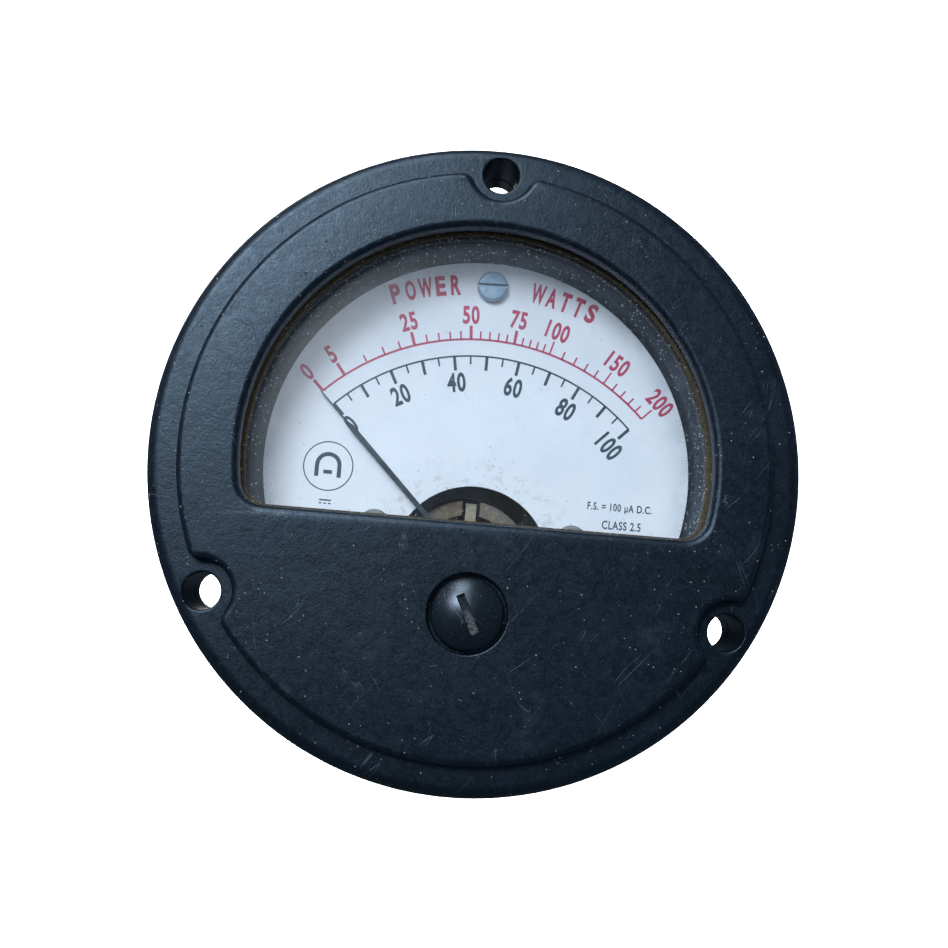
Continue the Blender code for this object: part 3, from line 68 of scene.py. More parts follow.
# ------------------------------------------------------------------ shader language
class Value:
    """A shader socket that can stand in a Python sum."""

    def __init__(self, recipe: "Recipe", socket: bpy.types.NodeSocket) -> None:
        """Wrap a socket of a recipe's node tree."""
        self.recipe = recipe
        self.socket = socket

    def _sum(self, operation: str, first: Any, second: Any) -> "Value":
        """Add a Math node that works on two values."""
        return self.recipe.node("ShaderNodeMath", {"operation": operation}, {0: first, 1: second})

    def __add__(self, other: Any) -> "Value":
        """Sum."""
        return self._sum("ADD", self, other)

    def __radd__(self, other: Any) -> "Value":
        """Sum, with the number first."""
        return self._sum("ADD", other, self)

    def __sub__(self, other: Any) -> "Value":
        """Difference."""
        return self._sum("SUBTRACT", self, other)

    def __rsub__(self, other: Any) -> "Value":
        """Difference, with the number first."""
        return self._sum("SUBTRACT", other, self)

    def __mul__(self, other: Any) -> "Value":
        """Product."""
        return self._sum("MULTIPLY", self, other)

    def __rmul__(self, other: Any) -> "Value":
        """Product, with the number first."""
        return self._sum("MULTIPLY", other, self)

    def __truediv__(self, other: Any) -> "Value":
        """Quotient."""
        return self._sum("DIVIDE", self, other)

    def __pow__(self, other: Any) -> "Value":
        """Power."""
        return self._sum("POWER", self, other)

    def __abs__(self) -> "Value":
        """Size without its sign."""
        return self._sum("ABSOLUTE", self, 0.0)

    def smaller(self, other: Any) -> "Value":
        """Smaller of two values."""
        return self._sum("MINIMUM", self, other)

    def larger(self, other: Any) -> "Value":
        """Larger of two values."""
        return self._sum("MAXIMUM", self, other)

    def step(self, low: float, high: float) -> "Value":
        """Smooth step from 0 at `low` to 1 at `high`; low may be the larger.

        Args:
            low: Value that gives 0.
            high: Value that gives 1.

        Returns:
            The step as a value between 0 and 1.
        """
        settings = {"interpolation_type": "SMOOTHSTEP", "clamp": True}
        return self.recipe.node("ShaderNodeMapRange", settings, {0: self, 1: low, 2: high})


class Recipe:
    """A material's node tree, with short ways to write its parts."""

    def __init__(self, name: str) -> None:
        """Start an empty material of a name."""
        self.material = bpy.data.materials.new(name)
        self.material.use_nodes = True
        self.tree = self.material.node_tree
        self.tree.nodes.clear()
        self.place = self.node("ShaderNodeTexCoord", outlet="Object")

    def node(self, kind: str, settings: dict[str, Any] | None = None,
             inlets: dict[Any, Any] | None = None, outlet: Any = 0) -> Value:
        """Add any node.

        Args:
            kind: Node type.
            settings: Properties to set first; "stops" fills a colour ramp.
            inlets: Values or links of sockets, by name or number.
            outlet: Name or number of the output to hand back.

        Returns:
            The chosen output.
        """
        made = self.tree.nodes.new(kind)
        for key, value in (settings or {}).items():
            if key == "stops":
                ramp = made.color_ramp
                while len(ramp.elements) < len(value):
                    ramp.elements.new(1.0)
                for element, (where, colour) in zip(ramp.elements, value):
                    element.position = where
                    element.color = (*colour, 1.0)
            else:
                setattr(made, key, value)
        for key, value in (inlets or {}).items():
            inlet = made.inputs[key]
            if isinstance(value, Value):
                self.tree.links.new(value.socket, inlet)
            elif isinstance(value, tuple) and inlet.type == "RGBA":
                inlet.default_value = (*value[:3], 1.0)
            else:
                inlet.default_value = value
        return Value(self, made.outputs[outlet])

    def stretched(self, scale: Sequence[float], turn: Sequence[float] = (0, 0, 0),
                  shift: Sequence[float] = (0, 0, 0)) -> Value:
        """Object coordinates, turned and stretched.

        Args:
            scale: Factors along the three axes.
            turn: Degrees about the three axes.
            shift: Metres along the three axes.

        Returns:
            The changed coordinates.
        """
        inlets = {"Vector": self.place, "Scale": tuple(scale), "Location": tuple(shift),
                  "Rotation": tuple(math.radians(a) for a in turn)}
        return self.node("ShaderNodeMapping", None, inlets)

    def noise(self, per_mm: float, detail: float = 3.0, rough: float = 0.55,
              where: Value | None = None) -> Value:
        """Noise around 0.5.

        Args:
            per_mm: Bumps per millimetre.
            detail: Number of finer layers.
            rough: Strength of each finer layer.
            where: Coordinates to read, or None for the object's own.

        Returns:
            The noise.
        """
        inlets = {"Vector": where or self.place, "Scale": per_mm / MM, "Detail": detail, "Roughness": rough}
        return self.node("ShaderNodeTexNoise", None, inlets)

    def specks(self, per_mm: float, size: float, share: float, seed: float = 0.0) -> Value:
        """Scattered round specks.

        Args:
            per_mm: Cells per millimetre.
            size: Speck radius as a share of a cell.
            share: Share of the cells that hold a speck.
            seed: Shift that gives another scatter.

        Returns:
            1 in a speck and 0 outside.
        """
        where = self.stretched((1, 1, 1), shift=(seed * MM, seed * MM, seed * MM))
        settings = {"feature": "F1", "distance": "EUCLIDEAN"}
        inlets = {"Vector": where, "Scale": per_mm / MM}
        away = self.node("ShaderNodeTexVoronoi", settings, inlets, "Distance")
        tone = self.node("ShaderNodeTexVoronoi", settings, inlets, "Color")
        pick = self.node("ShaderNodeSeparateColor", None, {0: tone}, "Red")
        return away.step(size, size * 0.6) * pick.step(1 - share, 1.001 - share)

    def scratches(self, turn: float, per_mm: float, width: float, seed: float) -> Value:
        """Fine scratches across the face.

        Args:
            turn: Their lean from upright, in degrees.
            per_mm: Scratches per millimetre before most are left out.
            width: Width of a scratch as a share of their spacing.
            seed: Shift that gives another scatter.

        Returns:
            1 on a scratch and 0 beside it.
        """
        leaning = self.stretched((1, 1, 1), (0, turn, 0))
        inlets = {"Vector": leaning, "Scale": (1, 1, 0.10), "Location": (seed * MM, 0, seed * MM)}
        where = self.node("ShaderNodeMapping", None, inlets)
        line = abs(self.noise(per_mm, 1.5, 0.4, where) - 0.5)
        gate = self.noise(0.22, 2.0, 0.5, self.stretched((1, 1, 1), shift=(seed * MM, seed * MM, 0)))
        return line.step(width, 0.0) * gate.step(0.57, 0.68)

    def mix(self, share: Any, first: Any, second: Any) -> Value:
        """Mix of two colours."""
        settings = {"data_type": "RGBA", "blend_type": "MIX"}
        return self.node("ShaderNodeMix", settings, {0: share, 6: first, 7: second}, 2)

    def radius(self) -> Value:
        """Distance from the meter's axis, in millimetres."""
        across, up = self.axis("X"), self.axis("Z")
        return ((across * across + up * up) ** 0.5) / MM

    def axis(self, name: str) -> Value:
        """One object coordinate, in metres."""
        return self.node("ShaderNodeSeparateXYZ", None, {0: self.place}, name)

    def bump(self, height: Value, strength: float, depth: float = 0.05) -> Value:
        """Bumped normal; depth in millimetres."""
        inlets = {"Height": height, "Strength": strength, "Distance": depth * MM}
        return self.node("ShaderNodeBump", None, inlets, "Normal")

    def surface(self, **inlets: Any) -> Value:
        """Principled shader; underscores in the names stand for spaces."""
        named = {key.replace("_", " "): value for key, value in inlets.items()}
        return self.node("ShaderNodeBsdfPrincipled", None, named, "BSDF")

    def done(self, shader: Value) -> bpy.types.Material:
        """Put a shader on the output.

        Args:
            shader: The finished shader.

        Returns:
            The material.
        """
        out = self.tree.nodes.new("ShaderNodeOutputMaterial")
        self.tree.links.new(shader.socket, out.inputs["Surface"])
        return self.material


# ------------------------------------------------------------------ finishes
@dataclass(frozen=True)
class Bakelite:
    """Blue-black moulded phenolic, satin, scratched, pitted and dusty."""

    name: str = "bakelite"
    deep: Colour = (0.0008, 0.0016, 0.0036)
    worn: Colour = (0.0022, 0.0044, 0.0090)
    dust: Colour = (0.42, 0.41, 0.38)
    sheen: Colour = (0.56, 0.78, 1.0)
    roughness: float = 0.30
    inside_radius: float = 25.3        # mm; the walls within are the dusty ones behind the glass

    def make(self) -> bpy.types.Material:
        """Build the material."""
        r = Recipe(self.name)
        cloud = r.noise(0.07, 4.0, 0.6)
        mottle = r.noise(1.3, 3.0, 0.6)
        grain = r.noise(3.4, 4.0, 0.7)
        base = r.mix(cloud.step(0.35, 0.7) * 0.5 + mottle.step(0.4, 0.7) * 0.4, self.deep, self.worn)
        base = r.mix(grain.step(0.52, 0.74) * 0.35, base, (0.010, 0.019, 0.034))
        marks = r.scratches(24, 0.55, 0.006, 3.0).larger(r.scratches(-38, 0.5, 0.005, 11.0))
        marks = marks.larger(r.scratches(71, 0.7, 0.005, 23.0)).larger(r.scratches(-8, 0.9, 0.004, 37.0))
        rub = r.noise(0.22, 5.0, 0.7).step(0.56, 0.72)
        base = r.mix(marks * 0.50, base, (0.055, 0.072, 0.095))
        base = r.mix(rub * 0.12, base, (0.022, 0.030, 0.042))
        drift = r.noise(0.12, 3.0, 0.6).step(0.45, 0.62)
        flecks = r.specks(1.5, 0.12, 0.40) * drift + r.specks(0.9, 0.085, 0.45, 5.0) * 0.9
        flecks = flecks.smaller(1.0)
        depth = r.axis("Y") / MM
        within = r.radius().step(self.inside_radius + 0.1, self.inside_radius)
        within = within * depth.step(-7.2, -6.9) * depth.step(23.4, 22.9)
        film = within * r.noise(1.2, 4.0, 0.7).step(0.30, 0.70) * 0.55
        grit = within * (r.specks(3.2, 0.30, 0.38, 9.0) + r.specks(1.8, 0.17, 0.55, 29.0)).smaller(1.0)
        base = r.mix(flecks * 0.55, base, self.dust)
        base = r.mix(film, base, (0.055, 0.073, 0.092))
        base = r.mix(grit * 0.85, base, (0.28, 0.235, 0.175))
        rough = self.roughness + cloud * 0.09 + mottle.step(0.35, 0.65) * 0.06 + grain.step(0.4, 0.6) * 0.05
        rough = rough + marks * 0.18 + flecks * 0.3 + rub * 0.10
        height = grain * 0.8 + mottle * 0.7 + r.noise(0.35, 2.0) - marks * 0.5 + flecks * 0.9
        pits = r.specks(0.55, 0.09, 0.35, 17.0)
        height = height - pits * 1.4
        return r.done(r.surface(Base_Color=base, Roughness=rough.smaller(1.0), IOR=1.60,
                                Specular_Tint=(*self.sheen, 1.0), Normal=r.bump(height, 0.55, 0.06)))


@dataclass(frozen=True)
class ScrewBlack:
    """Black moulded screw head, smoother than the case, with dirt packed into its slot."""

    name: str = "screw_black"
    colour: Colour = (0.0016, 0.0026, 0.0045)
    sheen: Colour = (0.66, 0.82, 1.0)

    def make(self) -> bpy.types.Material:
        """Build the material."""
        r = Recipe(self.name)
        mottle = r.noise(1.6, 3.0, 0.6)
        marks = r.scratches(35, 0.9, 0.008, 41.0).larger(r.scratches(-64, 1.1, 0.008, 51.0))
        flecks = r.specks(2.2, 0.10, 0.4, 7.0)
        low = r.axis("Z")
        across = r.axis("X")
        in_slot = (abs(across * 0.906 + (low + 0.0156) * 0.423) / MM).step(0.50, 0.42)
        sunk = (r.axis("Y") / MM).step(-10.55, -10.40) * in_slot
        along = (abs((low + 0.0156) * 0.906 - across * 0.423) / MM).step(2.12, 2.04)
        packed = sunk * along * r.noise(4.0, 4.0, 0.7).step(0.36, 0.62) * (low / MM).step(-14.6, -16.4)
        base = r.mix(mottle * 0.6, self.colour, (0.0050, 0.0075, 0.012))
        base = r.mix(marks * 0.6, base, (0.05, 0.06, 0.07))
        base = r.mix((flecks * 0.6 + packed * 0.40).smaller(1.0), base, (0.22, 0.21, 0.19))
        rough = 0.27 + mottle * 0.14 + marks * 0.2 + flecks * 0.3 + packed * 0.4
        return r.done(r.surface(Base_Color=base, Roughness=rough.smaller(1.0), IOR=1.75,
                                Specular_Tint=(*self.sheen, 1.0),
                                Normal=r.bump(mottle - marks * 0.6 + flecks + packed, 0.25, 0.04)))


@dataclass(frozen=True)
class DialPaint:
    """Cool white matt paint, a little stained, with dirt near the cut-out and round the edge, and painted
    bluish-grey shade in patches round the edge.
    """

    name: str = "dial_paint"
    colour: Colour = (0.88, 0.86, 0.88)
    pivot_drop: float = 10.5           # mm below the axis
    dirt: Colour = (0.20, 0.155, 0.10)

    def make(self) -> bpy.types.Material:
        """Build the material."""
        r = Recipe(self.name)
        across = r.axis("X") / MM
        up = r.axis("Z") / MM + self.pivot_drop
        pivot = (across * across + up * up) ** 0.5
        stain = r.noise(0.10, 4.0, 0.6)
        grain = r.noise(6.0, 3.0, 0.6)
        base = r.mix(stain.step(0.40, 0.75) * 0.35, self.colour, (0.74, 0.76, 0.79))
        base = r.mix(grain.step(0.35, 0.75) * 0.10, base, (0.66, 0.68, 0.71))
        halo = pivot.step(13.5, 8.8)
        rim_dirt_and_shade = r.radius().step(20.6, 23.6)
        # the rim mask carries real dirt specks here and painted shade below
        speck = (r.specks(2.2, 0.12, 0.55, 2.0) * halo + r.specks(3.2, 0.10, 0.30, 4.0) * rim_dirt_and_shade * 0.8
                 + r.specks(1.1, 0.055, 0.35, 6.0) * 0.6)
        smear = halo * r.noise(0.9, 4.0, 0.7).step(0.48, 0.70) * 0.35
        base = r.mix((speck * 0.75 + smear).smaller(1.0), base, self.dirt)
        # painted shade: bluish-grey patches darken the dial round its edge, where the bezel shades it
        base = r.mix(rim_dirt_and_shade * r.noise(0.5, 3.0).step(0.35, 0.7) * 0.30, base, (0.42, 0.46, 0.48))
        return r.done(r.surface(Base_Color=base, Roughness=0.52 + stain * 0.14,
                                Normal=r.bump(grain + speck, 0.18, 0.03)))


@dataclass(frozen=True)
class Ink:
    """Printing ink with slightly broken cover."""

    name: str
    colour: Colour
    thin: Colour

    def make(self) -> bpy.types.Material:
        """Build the material."""
        r = Recipe(self.name)
        patchy = r.noise(3.5, 4.0, 0.65)
        base = r.mix(patchy.step(0.48, 0.80) * 0.75, self.colour, self.thin)
        return r.done(r.surface(Base_Color=base, Roughness=0.48 + patchy * 0.2,
                                Normal=r.bump(patchy, 0.1, 0.02)))


@dataclass(frozen=True)
class WindowGlass:
    """Flat clear glass with a film of dust and grit that thickens towards its edge; the film is tinted blue
    as a painted reflection.
    """

    name: str = "window_glass"
    tint: Colour = (0.93, 0.965, 0.985)
    dust: Colour = (0.44, 0.38, 0.29)
    # film colour: a real dust film tinted blue as a painted sky reflection
    film: Colour = (0.36, 0.47, 0.60)
    shine: float = 0.02

    def make(self) -> bpy.types.Material:
        """Build the material."""
        r = Recipe(self.name)
        rim = r.radius().step(20.5, 25.0)
        low = r.axis("Z").step(-0.0035, -0.0070)
        film = r.noise(0.16, 4.0, 0.65).step(0.42, 0.75) * 0.05 + rim * 0.05
        grit = (r.specks(1.9, 0.085, 0.50, 1.0) * (0.30 + rim) + r.specks(2.4, 0.27, 0.42, 8.0) * rim * 0.8
                + r.specks(1.4, 0.12, 0.60, 13.0) * low)
        cover = (film + grit.smaller(1.0) * 0.85 + r.scratches(18, 0.35, 0.004, 61.0) * 0.10).smaller(0.95)
        clear = r.node("ShaderNodeBsdfTransparent", None, {"Color": self.tint})
        gloss = r.node("ShaderNodeBsdfGlossy", None, {"Color": (1.0, 1.0, 1.0), "Roughness": 0.30})
        pane = r.node("ShaderNodeMixShader", None, {0: self.shine, 1: clear, 2: gloss})
        # the grit is real dust; the film's bluish colour between the grit is a painted reflection
        dirt = r.surface(Base_Color=r.mix(grit.smaller(1.0), self.film, self.dust), Roughness=0.9)
        return r.done(r.node("ShaderNodeMixShader", None, {0: cover, 1: pane, 2: dirt}))


@dataclass(frozen=True)
class Metal:
    """A metal with grain, tarnish in patches and a little dust."""

    name: str
    colour: Colour
    tarnish: Colour
    roughness: float = 0.35
    grain: float = 0.5
    age: float = 0.4
    metallic: float = 1.0
    dust: float = 0.0

    def make(self) -> bpy.types.Material:
        """Build the material."""
        r = Recipe(self.name)
        brushed = r.noise(7.0, 2.0, 0.5, r.stretched((1, 1, 0.12)))
        patch = r.noise(0.45, 5.0, 0.65)
        spot = r.specks(2.6, 0.16, 0.35, 3.0)
        worn = patch.step(0.42, 0.70)
        base = r.mix(worn * self.age, self.colour, self.tarnish)
        base = r.mix(brushed * 0.25 * self.grain, base, self.tarnish)
        grit = (spot * 0.5 + r.noise(1.8, 4.0, 0.7).step(0.44, 0.66)) * self.dust
        base = r.mix(grit.smaller(1.0), base, (0.30, 0.24, 0.17))
        rough = self.roughness + worn * 0.22 * self.age + brushed * 0.12 * self.grain + grit * 0.3
        return r.done(r.surface(Base_Color=base, Roughness=rough.smaller(1.0),
                                Metallic=(self.metallic - worn * 0.15 * self.age - grit * 0.6).larger(0.0),
                                Normal=r.bump(brushed * self.grain + patch * 0.4 + grit, 0.22, 0.03)))


@dataclass(frozen=True)
class Dull:
    """A dull solid material such as cork, cement, sleeving or enamelled wire."""

    name: str
    colour: Colour
    other: Colour
    per_mm: float = 2.0
    roughness: float = 0.8
    relief: float = 0.6
    grit: float = 0.0                  # share of the surface that holds pale grit
    turns: float = 0.0                 # wire turns per millimetre along the staff, for a winding

    def make(self) -> bpy.types.Material:
        """Build the material."""
        r = Recipe(self.name)
        grain = r.noise(self.per_mm, 4.0, 0.7)
        speck = r.specks(self.per_mm, 0.30, self.grit, 5.0)
        base = r.mix(grain.step(0.38, 0.64), self.colour, self.other)
        base = r.mix(speck * 0.8, base, (0.36, 0.32, 0.25))
        height = grain + speck * 0.5
        if self.turns:
            settings = {"wave_type": "BANDS", "bands_direction": "Y"}
            wires = r.node("ShaderNodeTexWave", settings,
                           {"Vector": r.place, "Scale": self.turns / MM / 3.2}, "Fac")
            height = wires
            base = r.mix(wires * 0.7, self.other, self.colour)
        return r.done(r.surface(Base_Color=base, Roughness=self.roughness,
                                Normal=r.bump(height, self.relief, 0.06)))


@dataclass(frozen=True)
class Stage:
    """Pale studio surface with a hardly visible unevenness."""

    name: str = "studio_white"
    colour: Colour = (0.93, 0.93, 0.93)

    def make(self) -> bpy.types.Material:
        """Build the material."""
        r = Recipe(self.name)
        tone = r.noise(0.004, 3.0)
        return r.done(r.surface(Base_Color=r.mix(tone * 0.3, self.colour, (0.90, 0.90, 0.90)),
                                Roughness=0.9))


class Finish(Enum):
    """Every finish of the meter."""

    BAKELITE = Bakelite()
    SCREW_BLACK = ScrewBlack()
    DIAL = DialPaint()
    GLASS = WindowGlass()
    BLACK_INK = Ink("black_ink", (0.030, 0.055, 0.075), (0.13, 0.18, 0.23))
    RED_INK = Ink("red_ink", (0.52, 0.055, 0.115), (0.66, 0.23, 0.32))
    POINTER = Metal("pointer_lacquer", (0.010, 0.020, 0.032), (0.07, 0.09, 0.11), 0.42, 0.3, 0.5, 0.2)
    CORK = Dull("cork", (0.034, 0.029, 0.017), (0.068, 0.056, 0.034), 2.6, 0.92, 0.9, 0.25)
    CEMENT = Dull("cement", (0.030, 0.030, 0.030), (0.085, 0.062, 0.036), 2.4, 0.80, 0.9, 0.5)
    MAGNET = Metal("magnet_alloy", (0.20, 0.20, 0.21), (0.11, 0.10, 0.09), 0.62, 0.4, 0.7, 0.8, 0.15)
    IRON = Metal("soft_iron", (0.20, 0.17, 0.14), (0.20, 0.13, 0.07), 0.60, 0.5, 0.8, 0.5, 0.75)
    BRASS = Metal("brass", (0.60, 0.44, 0.20), (0.36, 0.25, 0.11), 0.38, 0.6, 0.6, 1.0, 0.10)
    DUSTY_BRASS = Metal("dusty_brass", (0.52, 0.44, 0.31), (0.36, 0.29, 0.19), 0.50, 0.6, 0.7, 0.7, 0.45)
    PLATED = Metal("plated_brass", (0.66, 0.62, 0.52), (0.42, 0.34, 0.21), 0.30, 0.6, 0.5)
    STEEL = Metal("steel", (0.50, 0.51, 0.52), (0.30, 0.28, 0.26), 0.34, 0.8, 0.4)
    GREY_STEEL = Metal("grey_steel", (0.20, 0.265, 0.335), (0.13, 0.165, 0.20), 0.50, 0.4, 0.5, 0.45, 0.12)
    # painted light: a lighter, bluish copy of grey_steel, used for the top dial screw that catches more light
    LIT_STEEL = Metal("dial_screw_painted_light", (0.42, 0.54, 0.66), (0.20, 0.26, 0.31), 0.50, 0.4, 0.5, 0.45, 0.12)
    DIRTY_STEEL = Metal("dirty_steel", (0.22, 0.23, 0.23), (0.17, 0.14, 0.11), 0.60, 0.4, 0.6, 0.35, 0.85)
    ALUMINIUM = Metal("aluminium", (0.72, 0.73, 0.75), (0.50, 0.50, 0.50), 0.42, 0.9, 0.3)
    BRONZE = Metal("spring_bronze", (0.60, 0.36, 0.16), (0.38, 0.21, 0.09), 0.30, 0.3, 0.4)
    TIN = Metal("tinned_brass", (0.64, 0.63, 0.60), (0.44, 0.42, 0.38), 0.34, 0.5, 0.5)
    COPPER = Dull("enamelled_wire", (0.42, 0.13, 0.05), (0.16, 0.05, 0.02), 3.0, 0.35, 0.9, 0.0, 9.0)
    RED_SLEEVE = Dull("red_sleeve", (0.36, 0.03, 0.02), (0.28, 0.02, 0.015), 3.0, 0.55, 0.4)
    BLACK_SLEEVE = Dull("black_sleeve", (0.018, 0.018, 0.018), (0.03, 0.03, 0.03), 3.0, 0.55, 0.4)
    STUDIO = Stage()


@dataclass
class Paintbox:
    """Makes each finish once."""

    made: dict[Finish, bpy.types.Material] = field(default_factory=dict)

    def get(self, finish: Finish) -> bpy.types.Material:
        """Material of a finish."""
        if finish not in self.made:
            self.made[finish] = finish.value.make()
        return self.made[finish]


# ------------------------------------------------------------------ outlines
def arc(radius: float, start: float, end: float, count: int,
        x: float = 0.0, y: float = 0.0) -> list[Point]:
    """Points along an arc between two angles in degrees."""
    angles = [math.radians(start + (end - start) * i / (count - 1)) for i in range(count)]
    return [(x + radius * math.cos(a), y + radius * math.sin(a)) for a in angles]


def circle(radius: float, count: int = 48, x: float = 0.0, y: float = 0.0) -> list[Point]:
    """Closed ring of points."""
    return arc(radius, 0.0, 360.0 * (count - 1) / count, count, x, y)


def on_circle(radius: float, angles: Iterable[float]) -> list[Point]:
    """Points on a circle at angles in degrees."""
    return [(radius * math.cos(math.radians(a)), radius * math.sin(math.radians(a))) for a in angles]


def window_outline(window: "WindowSizes", margin: float, count: int = 97) -> list[Point]:
    """Outline of the window, or of something larger on every side.

    Args:
        window: Sizes of the window.
        margin: How much larger the outline is.
        count: Points along the upper arc.

    Returns:
        The outline's points.
    """
    radius, base, corner = window.radius + margin, window.base - margin, window.corner + margin
    height = base + corner - window.rise
    across = math.sqrt((radius - corner) ** 2 - height ** 2)
    lean = math.degrees(math.atan2(height, across))
    points = arc(radius, lean, 180 - lean, count, 0, window.rise)
    points += arc(corner, 180 - lean, 270, 12, -across, base + corner)[1:]
    points += arc(corner, -90, lean, 12, across, base + corner)[:-1]
    return points


# ------------------------------------------------------------------ making of meshes
def mesh_of(name: str, shape: bmesh.types.BMesh) -> bpy.types.Mesh:
    """Store a bmesh as a mesh with its normals outwards.

    Args:
        name: Name of the mesh.
        shape: The bmesh, which is freed.

    Returns:
        The mesh.
    """
    bmesh.ops.remove_doubles(shape, verts=shape.verts, dist=1e-7)
    bmesh.ops.recalc_face_normals(shape, faces=shape.faces)
    mesh = bpy.data.meshes.new(name)
    shape.to_mesh(mesh)
    shape.free()
    return mesh


def turned(name: str, profile: Sequence[Point], steps: int = 64, place: Point = (0.0, 0.0),
           turn: float = 360.0, lift: float = 0.0) -> bpy.types.Mesh:
    """Turn a profile of (radius, level) points about an axis parallel to z.

    Args:
        name: Name of the mesh.
        profile: Points; closed on itself when the first equals the last.
        steps: Facets round.
        place: Where the axis stands.
        turn: Degrees turned; under 360 the profile is a closed face and the ends are capped.
        lift: Rise over the turn.

    Returns:
        The turned mesh.
    """
    shape = bmesh.new()
    closed = profile[0] == profile[-1]
    points = profile[:-1] if closed else profile
    verts = [shape.verts.new((radius, 0, level)) for radius, level in points]
    edges = [shape.edges.new(pair) for pair in zip(verts, verts[1:])]
    if closed:
        edges.append(shape.edges.new((verts[-1], verts[0])))
    full = turn == 360.0
    geometry: list[Any] = verts + edges
    if not full:
        geometry.append(shape.faces.new(verts))
    bmesh.ops.spin(shape, geom=geometry, cent=(0, 0, 0), axis=(0, 0, 1), angle=math.radians(turn),
                   steps=steps, dvec=(0, 0, lift / steps), use_merge=full, use_duplicate=False)
    bmesh.ops.translate(shape, verts=shape.verts, vec=(*place, 0))
    return mesh_of(name, shape)


def bar(name: str, size: Sequence[float], centre: Sequence[float], turn: float = 0.0,
        edge: float = 0.0) -> bpy.types.Mesh:
    """Box with rounded edges.

    Args:
        name: Name of the mesh.
        size: Its three sides.
        centre: Its middle.
        turn: Degrees turned about z round its middle.
        edge: Rounding of its edges, or 0.

    Returns:
        The box's mesh.
    """
    shape = bmesh.new()
    bmesh.ops.create_cube(shape, size=1.0)
    bmesh.ops.scale(shape, verts=shape.verts, vec=tuple(size))
    if edge:
        bmesh.ops.bevel(shape, geom=shape.edges[:], offset=edge, segments=2, profile=0.5,
                        affect="EDGES", material=-1)
    lean = Matrix.Rotation(math.radians(turn), 3, "Z")
    bmesh.ops.rotate(shape, verts=shape.verts, cent=(0, 0, 0), matrix=lean)
    bmesh.ops.translate(shape, verts=shape.verts, vec=tuple(centre))
    return mesh_of(name, shape)


def plate(name: str, outlines: Sequence[Sequence[Point]], low: float, high: float,
          edge: float = 0.0) -> bpy.types.Mesh:
    """Flat plate between two levels, open inside its later outlines, with rounded edges.

    Args:
        name: Name of the mesh.
        outlines: Outer outline first, then the holes.
        low: Lower level.
        high: Upper level.
        edge: Rounding of every edge.

    Returns:
        The plate's mesh.
    """
    curve = bpy.data.curves.new(name, "CURVE")
    curve.dimensions = "2D"
    curve.fill_mode = "BOTH"
    curve.extrude = (high - low) / 2 - edge
    curve.bevel_depth = edge
    curve.bevel_resolution = 3 if edge else 0
    curve.offset = -edge
    for points in outlines:
        spline = curve.splines.new("POLY")
        spline.points.add(len(points) - 1)
        for point, (x, y) in zip(spline.points, points):
            point.co = (x, y, 0, 1)
        spline.use_cyclic_u = True
    mesh = from_curve(name, curve)
    mesh.transform(Matrix.Translation((0, 0, (low + high) / 2)))
    return mesh


def from_curve(name: str, curve: bpy.types.Curve) -> bpy.types.Mesh:
    """Mesh of a curve or text, welded.

    Args:
        name: Name of the mesh.
        curve: Curve or text, left as it is.

    Returns:
        The mesh.
    """
    blank = bpy.data.objects.new(name + "_blank", curve)
    bpy.context.scene.collection.objects.link(blank)
    bpy.context.view_layer.update()
    mesh = bpy.data.meshes.new_from_object(blank.evaluated_get(bpy.context.evaluated_depsgraph_get()))
    bpy.data.objects.remove(blank)
    shape = bmesh.new()
    shape.from_mesh(mesh)
    bpy.data.meshes.remove(mesh)
    return mesh_of(name, shape)


def united(name: str, meshes: Iterable[bpy.types.Mesh]) -> bpy.types.Mesh:
    """Several separate meshes in one.

    Args:
        name: Name of the new mesh.
        meshes: Meshes to gather, which are removed.

    Returns:
        The new mesh.
    """
    shape = bmesh.new()
    for mesh in meshes:
        shape.from_mesh(mesh)
        bpy.data.meshes.remove(mesh)
    mesh = bpy.data.meshes.new(name)
    shape.to_mesh(mesh)
    shape.free()
    return mesh


def carved(name: str, mesh: bpy.types.Mesh,
           steps: Sequence[tuple[str, bpy.types.Mesh]]) -> bpy.types.Mesh:
    """Join meshes to a mesh and cut others out of it.

    Args:
        name: Name of the result.
        mesh: Mesh to start from.
        steps: Pairs of a Boolean operation and a mesh, in order.

    Returns:
        The carved mesh.
    """
    scene = bpy.context.scene.collection
    blank = bpy.data.objects.new(name + "_blank", mesh)
    scene.objects.link(blank)
    tools = []
    for number, (operation, tool_mesh) in enumerate(steps):
        tool = bpy.data.objects.new(f"{name}_tool_{number}", tool_mesh)
        scene.objects.link(tool)
        tools.append(tool)
        boolean = blank.modifiers.new(f"step_{number}", "BOOLEAN")
        boolean.operation = operation
        boolean.solver = "EXACT"
        boolean.object = tool
    bpy.context.view_layer.update()
    result = bpy.data.meshes.new_from_object(blank.evaluated_get(bpy.context.evaluated_depsgraph_get()))
    for thing in (blank, *tools):
        data = thing.data
        bpy.data.objects.remove(thing)
        bpy.data.meshes.remove(data)
    result.name = name
    return result


def moved(mesh: bpy.types.Mesh, x: float = 0.0, y: float = 0.0, z: float = 0.0,
          turn: float = 0.0) -> bpy.types.Mesh:
    """Turn a mesh about z by degrees, then move it."""
    mesh.transform(Matrix.Translation((x, y, z)) @ Matrix.Rotation(math.radians(turn), 4, "Z"))
    return mesh


